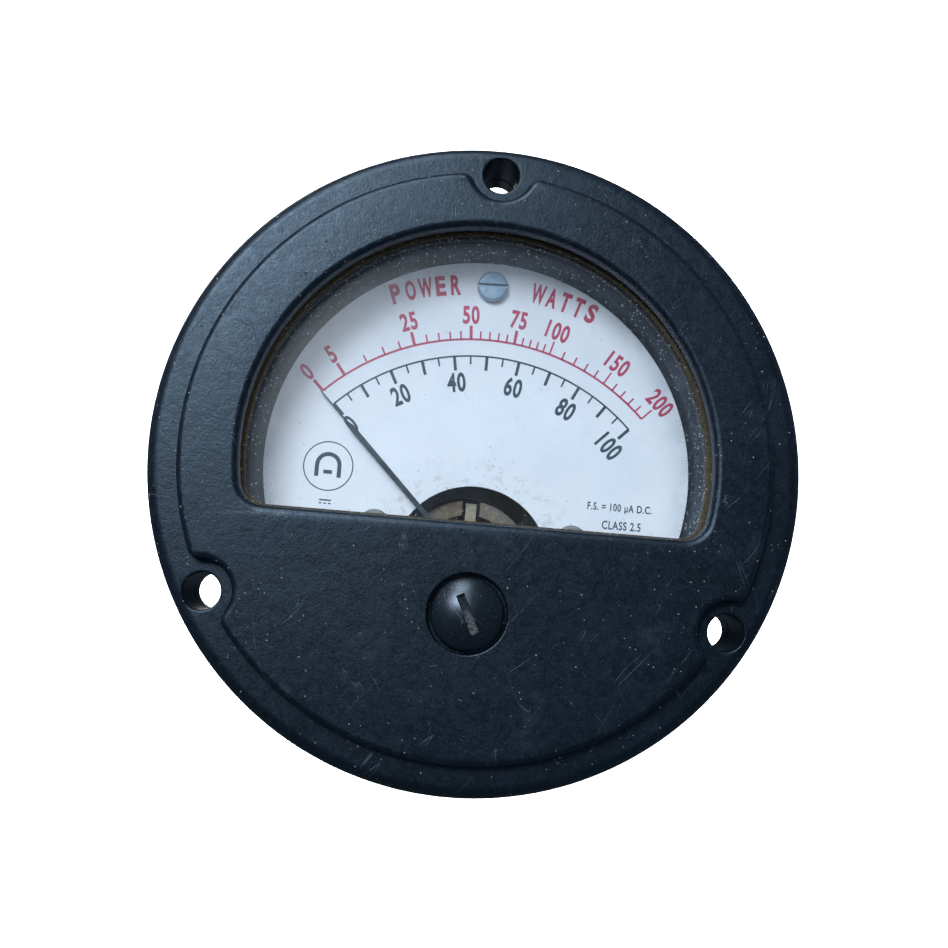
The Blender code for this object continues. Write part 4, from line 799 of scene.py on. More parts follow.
# ------------------------------------------------------------------ the meter's bench
@dataclass
class Bench:
    """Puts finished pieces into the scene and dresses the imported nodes."""

    nodes: dict[str, bpy.types.Object]
    paint: Paintbox = field(default_factory=Paintbox)

    def piece(self, name: str, mesh: bpy.types.Mesh, finish: Finish, body: str = "root",
              stands_for: Sequence[str] = (), slot: str = "", smooth: float = 35.0) -> bpy.types.Object:
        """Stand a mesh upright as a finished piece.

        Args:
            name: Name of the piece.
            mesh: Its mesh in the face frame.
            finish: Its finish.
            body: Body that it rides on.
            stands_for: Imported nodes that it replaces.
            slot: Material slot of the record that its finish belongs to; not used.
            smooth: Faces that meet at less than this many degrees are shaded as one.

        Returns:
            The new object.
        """
        mesh.transform(STAND_UP)
        mesh.materials.clear()
        mesh.materials.append(self.paint.get(finish))
        mesh.shade_smooth()
        mesh.set_sharp_from_angle(angle=math.radians(smooth))
        made = bpy.data.objects.new(name, mesh)
        bpy.context.scene.collection.objects.link(made)
        self.even_normals(made)
        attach(made, body)
        if stands_for:
            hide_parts(*stands_for)
        LOG.info("%s: %d faces on %s", name, len(mesh.polygons), body)
        return made

    def even_normals(self, made: bpy.types.Object) -> None:
        """Let large flat faces set the shading beside their rounded edges.

        Args:
            made: Object whose mesh is replaced by the evened one.
        """
        modifier = made.modifiers.new("even_normals", "WEIGHTED_NORMAL")
        modifier.keep_sharp = True
        fresh = bpy.data.meshes.new_from_object(made.evaluated_get(bpy.context.evaluated_depsgraph_get()))
        made.modifiers.clear()
        made.data = fresh

    def dress(self, finish: Finish, *names: str) -> None:
        """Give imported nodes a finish.

        Args:
            finish: The finish.
            names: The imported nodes.
        """
        for name in names:
            slots = self.nodes[name].material_slots
            if not slots:
                self.nodes[name].data.materials.append(self.paint.get(finish))
            for slot in slots:
                slot.material = self.paint.get(finish)
            LOG.info("%s: dressed in %s", name, finish.name.lower())


# ------------------------------------------------------------------ case
@dataclass
class WindowSizes:
    """Sizes of the window's outline."""

    radius: float = 24.4 * MM
    rise: float = 0.25 * MM
    base: float = -6.4 * MM
    corner: float = 2.6 * MM


@dataclass
class Case:
    """Moulded front cover and rear case, with the screws that hold them."""

    bench: Bench
    window: WindowSizes
    flange_radius: float = 34.15 * MM
    face_radius: float = 30.65 * MM
    ring_front: float = 8.0 * MM
    face_front: float = 9.6 * MM
    face_back: float = 7.4 * MM
    cover_back: float = 2.6 * MM
    case_front: float = 2.3 * MM
    cavity: float = 26.0 * MM
    shoulder: float = 1.5 * MM
    face_edge: float = 0.75 * MM
    mount_circle: float = 30.95 * MM
    mount_hole: float = 1.9 * MM
    notch: float = 3.2 * MM
    notch_fillet: float = 1.3 * MM
    adjuster_drop: float = 15.6 * MM
    recess: float = 4.05 * MM
    recess_floor: float = 8.5 * MM
    boss: float = 3.7 * MM
    boss_back: float = 6.3 * MM
    bore: float = 1.68 * MM
    barrel: float = 27.7 * MM
    barrel_bore: float = 24.4 * MM
    rear_outer: float = -25.0 * MM
    rear_inner: float = -22.0 * MM
    stud_x: float = 12.7 * MM
    stud_y: float = -2.0 * MM
    mount_angles: tuple[int, ...] = (90, 210, 330)
    screw_angles: tuple[int, ...] = (30, 150, 270)
    screw_names: tuple[str, ...] = ("right", "left", "bottom")
    frame_screw_circle: float = 21.0 * MM
    small_edge: float = 0.25 * MM
    pilot: float = 1.35 * MM
    pilot_end: float = 7.0 * MM
    sink: float = 2.45 * MM
    sink_depth: float = 1.1 * MM
    seat_depth: float = 1.5 * MM
    stud_hole: float = 2.15 * MM
    ring_groove: tuple[float, float] = (5.3 * MM, 5.7 * MM)
    ring_depth: float = 0.22 * MM
    ejector: float = 2.0 * MM
    ejector_circle: float = 14.5 * MM
    ejector_depth: float = 0.12 * MM
    sign_drop: float = 9.2 * MM
    sign_reach: float = 1.3 * MM
    sign_width: float = 0.55 * MM
    sign_depth: float = 0.15 * MM
    past: float = 1.0 * MM             # how far a cutter reaches past a surface

    def face_outline(self) -> list[Point]:
        """Outline of the raised face, scalloped round the mounting holes with rounded corners."""
        radius, notch, fillet, far = self.face_radius, self.notch, self.notch_fillet, self.mount_circle
        hub = radius - fillet
        cosine = (far ** 2 + hub ** 2 - (notch + fillet) ** 2) / (2 * far * hub)
        spread = math.degrees(math.acos(cosine))
        points: list[Point] = []
        for start, following in zip(self.mount_angles, (*self.mount_angles[1:], self.mount_angles[0] + 360)):
            centre_x, centre_y = on_circle(far, [start])[0]
            left_x, left_y = on_circle(hub, [start + spread])[0]
            right_x, right_y = on_circle(hub, [start - spread])[0]
            to_left = math.degrees(math.atan2(left_y - centre_y, left_x - centre_x))
            to_right = math.degrees(math.atan2(right_y - centre_y, right_x - centre_x))
            inward = start + 180
            to_right = inward + ((to_right - inward + 180) % 360 - 180)
            to_left = inward + ((to_left - inward + 180) % 360 - 180)
            points += self.corner(right_x, right_y, start - spread, to_right + 180)
            points += arc(notch, to_right, to_left, 17, centre_x, centre_y)[1:-1]
            points += self.corner(left_x, left_y, to_left + 180, start + spread)
            points += arc(radius, start + spread, following - spread, 61)[1:-1]
        return points

    def corner(self, x: float, y: float, start: float, end: float) -> list[Point]:
        """Rounded corner of the raised face, the short way round between two angles."""
        sweep = (end - start + 180) % 360 - 180
        return arc(self.notch_fillet, start, start + sweep, 9, x, y)

    def hole_tool(self, radius: float, low: float, high: float, lip: float, place: Point,
                  steps: int = 40) -> bpy.types.Mesh:
        """Round cutter with a lip that rounds the hole's upper edge.

        Args:
            radius: Radius of the hole.
            low: Level of its floor.
            high: Level of the surface it is cut into.
            lip: Rounding of its edge.
            place: Its axis.
            steps: Facets round.

        Returns:
            The cutter's mesh.
        """
        profile = [(0, low), (radius, low)]
        profile += [(radius + lip * (1 - math.cos(a)), high - lip + lip * math.sin(a))
                    for a in (math.radians(18 * i) for i in range(6))]
        profile += [(radius + lip, high + self.past), (0, high + self.past)]
        return turned("hole_tool", profile, steps, place)

    def build_cover(self) -> None:
        """Front cover: ring, raised face, window, notches, adjuster recess and holes."""
        ease = self.face_edge
        face = plate("raised_face", [self.face_outline(), window_outline(self.window, 0)],
                     self.face_back, self.face_front, ease)
        profile = [(self.cavity, self.ring_front)]
        profile += arc(self.shoulder, 90, 0, 10, self.flange_radius - self.shoulder,
                       self.ring_front - self.shoulder)
        profile += [(self.flange_radius, self.cover_back + self.small_edge),
                    (self.flange_radius - self.small_edge, self.cover_back), (self.cavity, self.cover_back),
                    (self.cavity, self.ring_front)]
        ring = turned("ring", profile, 192)
        axis = (0.0, -self.adjuster_drop)
        boss = turned("boss", [(0, self.face_back + self.past), (self.boss, self.face_back + self.past),
                               (self.boss, self.boss_back), (0, self.boss_back)], 48, axis)
        holes = [self.hole_tool(self.mount_hole, 0, self.ring_front, self.small_edge, spot)
                 for spot in on_circle(self.mount_circle, self.mount_angles)]
        pilot = [(0, 0), (self.pilot, 0), (self.pilot, self.pilot_end - 0.5 * MM), (0, self.pilot_end)]
        holes += [turned("pilot", pilot, 24, spot)
                  for spot in on_circle(self.mount_circle, self.screw_angles)]
        recess = self.hole_tool(self.recess, self.recess_floor, self.face_front, 0.2 * MM, axis, 72)
        bore = turned("bore", [(0, 0), (self.bore, 0), (self.bore, 12 * MM), (0, 12 * MM)], 32, axis)
        steps = [("UNION", ring), ("UNION", boss), ("DIFFERENCE", united("holes", holes)),
                 ("DIFFERENCE", recess), ("DIFFERENCE", bore)]
        mesh = carved("front_moulding", face, steps)
        self.bench.piece("front_moulding", mesh, Finish.BAKELITE, stands_for=["front_cover"],
                         slot="bakelite", smooth=32)

    def rear_profile(self) -> list[Point]:
        """Section of the rear case: inside, joint face, flange edge, barrel and rounded end."""
        corner, rim, root, end = 0.8 * MM, 0.6 * MM, 0.5 * MM, 1.2 * MM
        profile = [(0, self.rear_inner), (self.barrel_bore - corner, self.rear_inner)]
        profile += arc(corner, -90, 0, 6, self.barrel_bore - corner, self.rear_inner + corner)[1:]
        profile += [(self.barrel_bore, self.case_front),
                    (self.flange_radius - self.small_edge, self.case_front),
                    (self.flange_radius, self.case_front - self.small_edge), (self.flange_radius, rim)]
        profile += arc(rim, 0, -90, 6, self.flange_radius - rim, rim)[1:]
        profile += arc(root, 90, 180, 6, self.barrel + root, -root)
        profile += arc(end, 0, -90, 9, self.barrel - end, self.rear_outer + end)
        return profile + [(0, self.rear_outer)]

    def flange_holes(self) -> list[bpy.types.Mesh]:
        """Cutters for the mounting holes and the countersinks of the cover screws."""
        mount = [(0, -self.past), (self.mount_hole, -self.past), (self.mount_hole, 3 * self.past),
                 (0, 3 * self.past)]
        sink = [(0, 3 * self.past), (self.pilot, 3 * self.past), (self.pilot, self.sink_depth),
                (self.sink, 0), (self.sink, -self.past), (0, -self.past)]
        mounts = on_circle(self.mount_circle, self.mount_angles)
        sinks = on_circle(self.mount_circle, self.screw_angles)
        return [turned("mount", mount, 40, spot) for spot in mounts] + \
               [turned("sink", sink, 40, spot) for spot in sinks]

    def rear_holes(self) -> list[bpy.types.Mesh]:
        """Cutters for the screw seats, stud holes, ring grooves, ejector marks and polarity signs."""
        rear, low = self.rear_outer, self.rear_outer - 0.3 * MM
        seat = rear + self.seat_depth
        deep = [(0, seat), (self.sink, seat), (self.sink, rear), (self.sink + 0.2 * MM, low), (0, low)]
        holes = [turned("seat", deep, 40, spot)
                 for spot in on_circle(self.frame_screw_circle, self.screw_angles)]
        bore = [(0, rear - self.past), (self.stud_hole, rear - self.past),
                (self.stud_hole, self.rear_inner + self.past), (0, self.rear_inner + self.past)]
        inner, outer = self.ring_groove
        floor = rear + self.ring_depth
        groove = [(inner, low), (inner, floor), (outer, floor), (outer, low), (inner, low)]
        for side in (-1, 1):
            spot = (side * self.stud_x, self.stud_y)
            holes += [turned("stud", bore, 32, spot), turned("ring", groove, 64, spot)]
        mark = [(0, rear + self.ejector_depth), (self.ejector, rear + self.ejector_depth),
                (self.ejector + 0.1 * MM, low), (0, low)]
        holes += [turned("ejector", mark, 40, spot) for spot in on_circle(self.ejector_circle, (70, 110))]
        level, height = rear + self.sign_depth, self.stud_y - self.sign_drop
        size = (self.sign_width, 2 * self.sign_reach, 0.6 * MM)
        holes.append(bar("minus", size, (-self.stud_x, height, level - size[2] / 2), 90))
        plus = plate("plus", [self.cross(self.sign_reach, self.sign_width / 2)], level - size[2], level)
        return holes + [moved(plus, self.stud_x, height)]

    def build_rear(self) -> None:
        """Rear case: flange half and barrel, with every hole and mark."""
        body = turned("barrel", self.rear_profile(), 192)
        holes = united("rear_holes", self.flange_holes() + self.rear_holes())
        mesh = carved("rear_moulding", body, [("DIFFERENCE", holes)])
        self.bench.piece("rear_moulding", mesh, Finish.BAKELITE, stands_for=["rear_case"],
                         slot="bakelite", smooth=32)

    def cross(self, reach: float, half: float) -> list[Point]:
        """Outline of an upright cross.

        Args:
            reach: Length of an arm.
            half: Half of an arm's width.

        Returns:
            The outline's points.
        """
        corner = [(half, half), (half, reach), (-half, reach)]
        points: list[Point] = []
        for quarter in range(4):
            angle = math.radians(90 * quarter)
            points += [(x * math.cos(angle) - y * math.sin(angle), x * math.sin(angle) + y * math.cos(angle))
                       for x, y in corner]
        return points

    def build_screws(self) -> None:
        """Countersunk cover screws and cheese-head frame screws, all slotted."""
        spots = on_circle(self.mount_circle, self.screw_angles)
        for name, angle, spot in zip(self.screw_names, self.screw_angles, spots):
            low = 0.1 * MM
            profile = [(0, 6.2 * MM), (0.9 * MM, 6.2 * MM), (1.2 * MM, 5.7 * MM), (1.2 * MM, 1.2 * MM),
                       (2.3 * MM, low + 0.12 * MM), (2.22 * MM, low), (0, low)]
            slot = bar("slot", (6 * MM, 0.6 * MM, 1.0 * MM), (0, 0, low), angle * 1.7)
            mesh = carved("cover_screw", turned("cover_screw", profile, 40), [("DIFFERENCE", slot)])
            self.bench.piece(f"cover_screw_{name}_fine", moved(mesh, *spot), Finish.GREY_STEEL,
                             stands_for=[f"cover_screw_{name}"], slot="dull_steel")
        seat = self.rear_outer + 1.4 * MM
        spots = on_circle(self.frame_screw_circle, self.screw_angles)
        for name, angle, spot in zip(self.screw_names, self.screw_angles, spots):
            top = seat - 1.2 * MM
            profile = [(0, -11.9 * MM), (1.1 * MM, -11.9 * MM), (1.1 * MM, seat), (2.3 * MM, seat)]
            profile += arc(0.35 * MM, 0, -90, 6, 1.95 * MM, top + 0.35 * MM) + [(0, top)]
            slot = bar("slot", (6 * MM, 0.6 * MM, 1.2 * MM), (0, 0, top), angle * 2.3)
            mesh = carved("frame_screw", turned("frame_screw", profile, 40), [("DIFFERENCE", slot)])
            self.bench.piece(f"frame_screw_{name}_fine", moved(mesh, *spot), Finish.STEEL,
                             stands_for=[f"frame_screw_{name}"], slot="steel")

    def build(self) -> None:
        """Build the whole case."""
        self.build_cover()
        self.build_rear()
        self.build_screws()


# ------------------------------------------------------------------ window
@dataclass
class Window:
    """Glass with its gasket and cement."""

    bench: Bench
    window: WindowSizes
    lap: float = 1.2 * MM
    gasket: tuple[float, float] = (6.8 * MM, 7.3 * MM)
    glass: tuple[float, float] = (5.2 * MM, 6.7 * MM)
    cement: tuple[float, float] = (4.3 * MM, 5.1 * MM)
    gasket_inset: float = 0.25 * MM
    cement_width: float = 1.1 * MM

    def build(self) -> None:
        """Build the three layers, each with its own edge."""
        glass = plate("window_pane", [window_outline(self.window, self.lap)], *self.glass, 0.12 * MM)
        self.bench.piece("window_pane", glass, Finish.GLASS, stands_for=["window_glass"], slot="glass")
        rim = window_outline(self.window, self.lap)
        inner = window_outline(self.window, -self.gasket_inset)
        gasket = plate("cork_gasket", [rim, inner], *self.gasket, 0.08 * MM)
        self.ragged(gasket, 0.07 * MM, 1.1 / MM)
        self.bench.piece("cork_gasket", gasket, Finish.CORK, stands_for=["glass_gasket"], slot="cork")
        inner = window_outline(self.window, self.lap - self.cement_width)
        cement = plate("cement_bead", [rim, inner], *self.cement, 0.25 * MM)
        self.ragged(cement, 0.16 * MM, 0.5 / MM)
        self.bench.piece("cement_bead", cement, Finish.CEMENT, stands_for=["glass_cement"], slot="cement")

    def ragged(self, mesh: bpy.types.Mesh, reach: float, scale: float) -> None:
        """Shift a mesh's inner points by a smooth random amount, as on a hand-laid bead.

        Args:
            mesh: Mesh to change.
            reach: Largest shift.
            scale: Bumps per metre.
        """
        limit = self.window.radius + self.window.rise + self.lap - 0.05 * MM
        for vert in mesh.vertices:
            flat = Vector((vert.co.x, vert.co.y, 0))
            if flat.length < limit - 0.6 * MM:
                push = noise.noise(Vector((vert.co.x, vert.co.y, 0.0)) * scale) * reach
                vert.co -= flat.normalized() * abs(push)


# ------------------------------------------------------------------ zero adjuster
@dataclass
class ZeroAdjuster:
    """Domed adjusting screw with its closed-ended slot, clip and arm."""

    bench: Bench
    drop: float = 15.6 * MM
    head: float = 3.7 * MM
    seat: float = 8.6 * MM
    edge: float = 9.5 * MM
    dome: float = 1.47 * MM
    shank: float = 1.6 * MM
    shank_back: float = 5.5 * MM
    groove: tuple[float, float] = (5.65 * MM, 6.25 * MM)
    groove_depth: float = 0.3 * MM
    pin: float = 0.45 * MM
    pin_back: float = 4.68 * MM
    throw: float = 0.6 * MM
    slot_length: float = 4.2 * MM
    slot_width: float = 0.88 * MM
    slot_depth: float = 0.9 * MM
    slot_turn: float = 25.0

    def build(self) -> None:
        """Build the screw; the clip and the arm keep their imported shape."""
        curve = (self.head ** 2 + self.dome ** 2) / (2 * self.dome)
        spread = math.degrees(math.asin(self.head / curve))
        top = self.edge + self.dome
        profile = [(0, top)] + arc(curve, 90, 90 - spread * 0.93, 16, 0, top - curve)[1:]
        profile += [(self.head - 0.06 * MM, self.edge + 0.02 * MM), (self.head, self.edge - 0.12 * MM),
                    (self.head, self.seat + 0.1 * MM), (self.head - 0.1 * MM, self.seat),
                    (self.shank, self.seat), (self.shank, self.groove[1]),
                    (self.shank - self.groove_depth, self.groove[1]),
                    (self.shank - self.groove_depth, self.groove[0]), (self.shank, self.groove[0]),
                    (self.shank, self.shank_back), (0, self.shank_back)]
        body = turned("zero_screw_head", profile, 96)
        root = self.shank_back + 0.5 * MM
        pin = turned("pin", [(0, root), (self.pin, root), (self.pin, self.pin_back), (0, self.pin_back)],
                     24, (0, self.throw))
        slot = bar("slot", (self.slot_width, self.slot_length, 2 * self.slot_depth), (0, 0, top),
                   self.slot_turn)
        mesh = carved("zero_screw_head", body, [("UNION", pin), ("DIFFERENCE", slot)])
        self.bench.piece("zero_screw_head", moved(mesh, 0, -self.drop), Finish.SCREW_BLACK, "zero_screw",
                         ["zero_adjust_screw"], "screw_black", 30)
        self.bench.dress(Finish.STEEL, "zero_screw_clip")
        self.bench.dress(Finish.DUSTY_BRASS, "zero_adjust_arm")


# ------------------------------------------------------------------ dial
class Side(Enum):
    """Side of a scale's arc that its marks stand on."""

    INWARD = -1
    OUTWARD = 1


@dataclass
class Scale:
    """One printed scale: an arc, its marks and its figures."""

    name: str
    finish: Finish
    radius: float
    side: Side
    line: float
    fraction: Callable[[float], float]
    majors: tuple[float, ...]
    heavy: tuple[float, ...]
    minors: tuple[float, ...]
    major_length: float
    minor_length: float
    figures: tuple[float, ...]
    figure_radius: float
    figure_height: float
    figure_width: float


@dataclass
class Dial:
    """White dial with two printed scales, its symbols, and its screws."""

    bench: Bench
    front: float = 1.0 * MM
    thickness: float = 0.5 * MM
    radius: float = 23.5 * MM
    shift: float = 0.3 * MM
    base: float = -11.5 * MM
    opening: float = 8.6 * MM
    pivot_drop: float = 10.5 * MM
    sweep: float = 90.0
    ink: float = 0.012 * MM
    screw_spots: tuple[Point, ...] = ((0.3 * MM, 20.7 * MM), (-10.5 * MM, -7.0 * MM),
                                      (11.1 * MM, -7.0 * MM))
    screw_head: float = 1.7 * MM
    screw_height: float = 0.9 * MM
    heavy_mark: float = 0.34 * MM
    light_mark: float = 0.19 * MM
    letter_height: float = 2.3 * MM
    letter_radius: float = 31.4 * MM
    letter_width: float = 1.14 * MM
    broad_letter: float = 1.62 * MM
    symbol: Point = (-16.1 * MM, -1.0 * MM)
    symbol_ring: tuple[float, float] = (2.62 * MM, 2.75 * MM)
    magnet_arc: tuple[float, float] = (1.0 * MM, 1.45 * MM)

    def angle(self, fraction: float) -> float:
        """Degrees clockwise from upright of a fraction of the scale."""
        return self.sweep * (fraction - 0.5)

    def at(self, radius: float, angle: float) -> Point:
        """Point at a distance from the pointer's axis and degrees clockwise from upright."""
        lean = math.radians(angle)
        return self.shift + radius * math.sin(lean), -self.pivot_drop + radius * math.cos(lean)

    def mark(self, radius: float, length: float, width: float, angle: float) -> bpy.types.Mesh:
        """One printed mark, centred on a radius."""
        size = (width, length, self.ink)
        return bar("mark", size, (*self.at(radius, angle), self.front + self.ink / 2), -angle)

    def letters(self, text: str, height: float, width: float, radius: float, angle: float,
                weight: float = 0.045, fitted: bool = False) -> bpy.types.Mesh:
        """Lettering turned along the arc.

        Args:
            text: The letters.
            height: Height of a capital.
            width: Share of the font's own width, or the lettering's breadth where `fitted`.
            radius: Distance of the letters' middle from the pointer's axis.
            angle: Degrees clockwise from upright.
            weight: How much each stroke is thickened, as a share of the height.
            fitted: Whether the width is the breadth in metres.

        Returns:
            The printed letters' mesh.
        """
        curve = bpy.data.curves.new("letters", "FONT")
        curve.body = text
        curve.size = 1.0
        curve.align_x = "CENTER"
        curve.extrude = 0.5
        curve.offset = weight * 0.7
        curve.resolution_u = 6
        curve.space_character = 1.12
        mesh = from_curve("letters", curve)
        xs = [v.co.x for v in mesh.vertices]
        ys = [v.co.y for v in mesh.vertices]
        middle = Vector(((min(xs) + max(xs)) / 2, (min(ys) + max(ys)) / 2, 0))
        scale = height / (max(ys) - min(ys))
        wide = width / (max(xs) - min(xs)) if fitted else scale * width
        mesh.transform(Matrix.Diagonal((wide, scale, self.ink, 1)) @ Matrix.Translation(-middle))
        x, y = self.at(radius, angle)
        return moved(mesh, x, y, self.front + self.ink / 2, -angle)

    def print_scale(self, scale: Scale) -> None:
        """Print a scale's arc, marks and figures as one piece.

        Args:
            scale: What to print.
        """
        inner, outer = scale.radius - scale.line / 2, scale.radius + scale.line / 2
        low, high = self.front, self.front + self.ink
        profile = [(inner, low), (outer, low), (outer, high), (inner, high), (inner, low)]
        line = turned("line", profile, 120, turn=self.sweep)
        line = moved(line, turn=90 - self.sweep / 2)
        parts = [moved(line, self.shift, -self.pivot_drop)]
        for value in scale.majors + scale.minors:
            length = scale.major_length if value in scale.majors else scale.minor_length
            width = self.heavy_mark if value in scale.heavy else self.light_mark
            middle = scale.radius + scale.side.value * length / 2
            parts.append(self.mark(middle, length, width, self.angle(scale.fraction(value))))
        for value in scale.figures:
            angle = self.angle(scale.fraction(value))
            parts.append(self.letters(f"{value:g}", scale.figure_height, scale.figure_width,
                                      scale.figure_radius, angle))
        self.bench.piece(scale.name, united(scale.name, parts), scale.finish, slot="dial")

    def print_words(self) -> None:
        """Print the quantity and its unit along the outer arc, letter by letter."""
        parts = []
        for word, start, end in (("POWER", -20.1, -7.6), ("WATTS", 9.6, 21.2)):
            for number, letter in enumerate(word):
                angle = start + (end - start) * number / (len(word) - 1)
                wide = self.broad_letter if letter == "W" else self.letter_width
                parts.append(self.letters(letter, self.letter_height, wide, self.letter_radius, angle,
                                          0.055, True))
        mesh = united("quantity_lettering", parts)
        self.bench.piece("quantity_lettering", mesh, Finish.RED_INK, slot="dial")

    def print_symbols(self) -> None:
        """Print a plain moving-coil symbol, direct-current sign and full-scale note."""
        low, high = self.front, self.front + self.ink
        middle = self.front + self.ink / 2
        x, y = self.symbol
        inner, outer = self.symbol_ring
        ring = [(inner, low), (outer, low), (outer, high), (inner, high), (inner, low)]
        parts = [turned("symbol_ring", ring, 72, (x, y))]
        inner, outer = self.magnet_arc
        foot, lift = -1.2 * MM, 0.1 * MM
        shoe = arc(outer, 0, 180, 17, 0, lift) + [(-outer, foot), (-inner, foot)]
        shoe += arc(inner, 180, 0, 15, 0, lift) + [(inner, foot), (outer, foot)]
        parts.append(moved(plate("shoe", [shoe], low, high), x, y))
        parts.append(bar("coil", (0.95 * MM, 0.42 * MM, self.ink), (x, y - 0.65 * MM, middle)))
        parts.append(bar("dc", (1.3 * MM, 0.16 * MM, self.ink), (x, y - 3.75 * MM, middle)))
        parts += [bar("dash", (0.3 * MM, 0.14 * MM, self.ink), (x + offset * MM, y - 4.1 * MM, middle))
                  for offset in (-0.5, 0, 0.5)]
        notes = (("F.S. = 100 \u00b5A D.C.", (16.3, -3.0), 1.05), ("CLASS 2.5", (16.6, -4.9), 0.95))
        for text, place, height in notes:
            mesh = self.letters(text, height * MM, 0.72, self.pivot_drop, 0, 0.03)
            parts.append(moved(mesh, place[0] * MM - self.shift, place[1] * MM))
        self.bench.piece("dial_notes", united("dial_notes", parts), Finish.BLACK_INK, slot="dial")

    def build_plate(self) -> None:
        """Dial plate with a fine edge and a cut-out round the pointer's axis."""
        lean = math.degrees(math.asin(self.base / self.radius))
        outline = arc(self.radius, lean, 180 - lean, 161, self.shift, 0)
        side = math.sqrt(self.opening ** 2 - (self.base + self.pivot_drop) ** 2)
        start = math.degrees(math.atan2(self.base + self.pivot_drop, side))
        outline += arc(self.opening, 180 - start, start, 65, self.shift, -self.pivot_drop)
        holes = [circle(0.85 * MM, 24, x, y) for x, y in self.screw_spots]
        mesh = plate("painted_dial", [outline, *holes], self.front - self.thickness, self.front, 0.04 * MM)
        self.bench.piece("painted_dial", mesh, Finish.DIAL, stands_for=["dial_plate"], slot="dial")

    def build_screws(self) -> None:
        """Slotted screws that hold the dial."""
        seat = self.front + 0.1 * MM
        top = seat + self.screw_height
        for name, spot, turn in zip(("top", "left", "right"), self.screw_spots, (2.0, 35.0, -20.0)):
            profile = [(0, top), (0.7 * MM, top - 0.01 * MM)]
            profile += arc(0.32 * MM, 80, 0, 7, self.screw_head - 0.32 * MM, top - 0.36 * MM)
            profile += [(self.screw_head, seat + 0.05 * MM), (self.screw_head - 0.05 * MM, seat),
                        (0.7 * MM, seat), (0.7 * MM, -0.7 * MM), (0, -0.7 * MM)]
            slot = bar("slot", (4 * MM, 0.42 * MM, 0.8 * MM), (0, 0, top), turn)
            mesh = carved("dial_screw", turned("dial_screw", profile, 56), [("DIFFERENCE", slot)])
            # the top screw wears the lighter copy as painted light; the lower two are dusty steel
            finish = Finish.LIT_STEEL if name == "top" else Finish.DIRTY_STEEL
            self.bench.piece(f"dial_screw_{name}_fine", moved(mesh, *spot), finish,
                             stands_for=[f"dial_screw_{name}"], slot="dull_steel")

    def build(self) -> None:
        """Build the dial, its printing and its screws."""
        self.build_plate()
        even = tuple(float(v) for v in range(0, 101, 10))
        between = tuple(float(v) for v in range(5, 100, 10))
        self.print_scale(Scale("lower_scale", Finish.BLACK_INK, 23.25 * MM, Side.INWARD, 0.20 * MM,
                               lambda v: v / 100, even, even, between, 1.6 * MM, 0.95 * MM,
                               tuple(float(v) for v in range(0, 101, 20)), 20.3 * MM, 2.2 * MM, 0.66))
        majors = (0.0, 5.0, 25.0, 50.0, 75.0, 100.0, 150.0, 200.0)
        minors = [10, 15, 20, 30, 35, 40, 45, 55, 60, 65, 70, 80, 85, 90, 95,
                  *range(110, 150, 10), *range(160, 200, 10)]
        self.print_scale(Scale("upper_scale", Finish.RED_INK, 25.15 * MM, Side.OUTWARD, 0.24 * MM,
                               lambda v: 0.0777 * math.sqrt(v) - 0.0985 if v else 0.0,
                               majors, majors[:5], tuple(float(v) for v in minors), 1.57 * MM, 0.95 * MM,
                               majors, 27.95 * MM, 2.1 * MM, 0.66))
        self.print_words()
        self.print_symbols()
        self.build_screws()
        self.bench.dress(Finish.BRASS, "dial_pillar_top", "dial_pillar_left", "dial_pillar_right")


# ------------------------------------------------------------------ movement
@dataclass
class Movement:
    """Magnet system, bridges and moving coil."""

    bench: Bench
    drop: float = 10.5 * MM
    rest: float = 45.0
    reach: float = 25.0 * MM
    tip_start: float = 19.7 * MM
    tip: float = 0.2 * MM
    width: float = 0.6 * MM
    tail: float = 5.3 * MM
    hub: float = 1.3 * MM
    level: tuple[float, float] = (1.6 * MM, 1.8 * MM)

    def build_pointer(self) -> None:
        """Pointer with a knife-thin tip, a swelling behind it, a slim stem and its hub."""
        half, tip = self.width / 2, self.tip / 2
        meet = math.degrees(math.acos(half / self.hub))
        outline = [(half * 0.9, 8 * MM), (half, self.tip_start), (tip, self.tip_start + 0.8 * MM),
                   (tip * 0.7, self.reach - 0.1 * MM)]
        outline += [(-x, y) for x, y in reversed(outline)]
        outline += arc(self.hub, 180 - meet, 180 + meet, 25)
        outline += [(-half, -self.tail), (half, -self.tail)]
        outline += arc(self.hub, -meet, meet, 25)
        mesh = plate("needle", [outline, circle(0.45 * MM, 24)], *self.level, 0.03 * MM)
        self.bench.piece("needle", moved(moved(mesh, turn=self.rest), 0, -self.drop), Finish.POINTER,
                         "moving_coil", ["pointer"], "pointer")

    def build(self) -> None:
        """Build the pointer and dress the rest."""
        self.build_pointer()
        dress = self.bench.dress
        dress(Finish.MAGNET, "horseshoe_magnet")
        dress(Finish.IRON, "left_pole_piece", "right_pole_piece", "iron_core")
        dress(Finish.DUSTY_BRASS, "upper_core_support", "lower_core_support", "front_bridge",
              "front_jewel_nut", "front_jewel_screw")
        dress(Finish.BRASS, "balance_weight", "rear_bridge", "rear_jewel_nut", "rear_jewel_screw")
        dress(Finish.ALUMINIUM, "movement_frame", "coil_former")
        dress(Finish.COPPER, "coil_winding")
        dress(Finish.BRONZE, "front_hairspring", "rear_hairspring")
        dress(Finish.STEEL, "front_staff", "rear_staff", "bridge_screw_left", "bridge_screw_right",
              "pole_screw_left", "pole_screw_right")


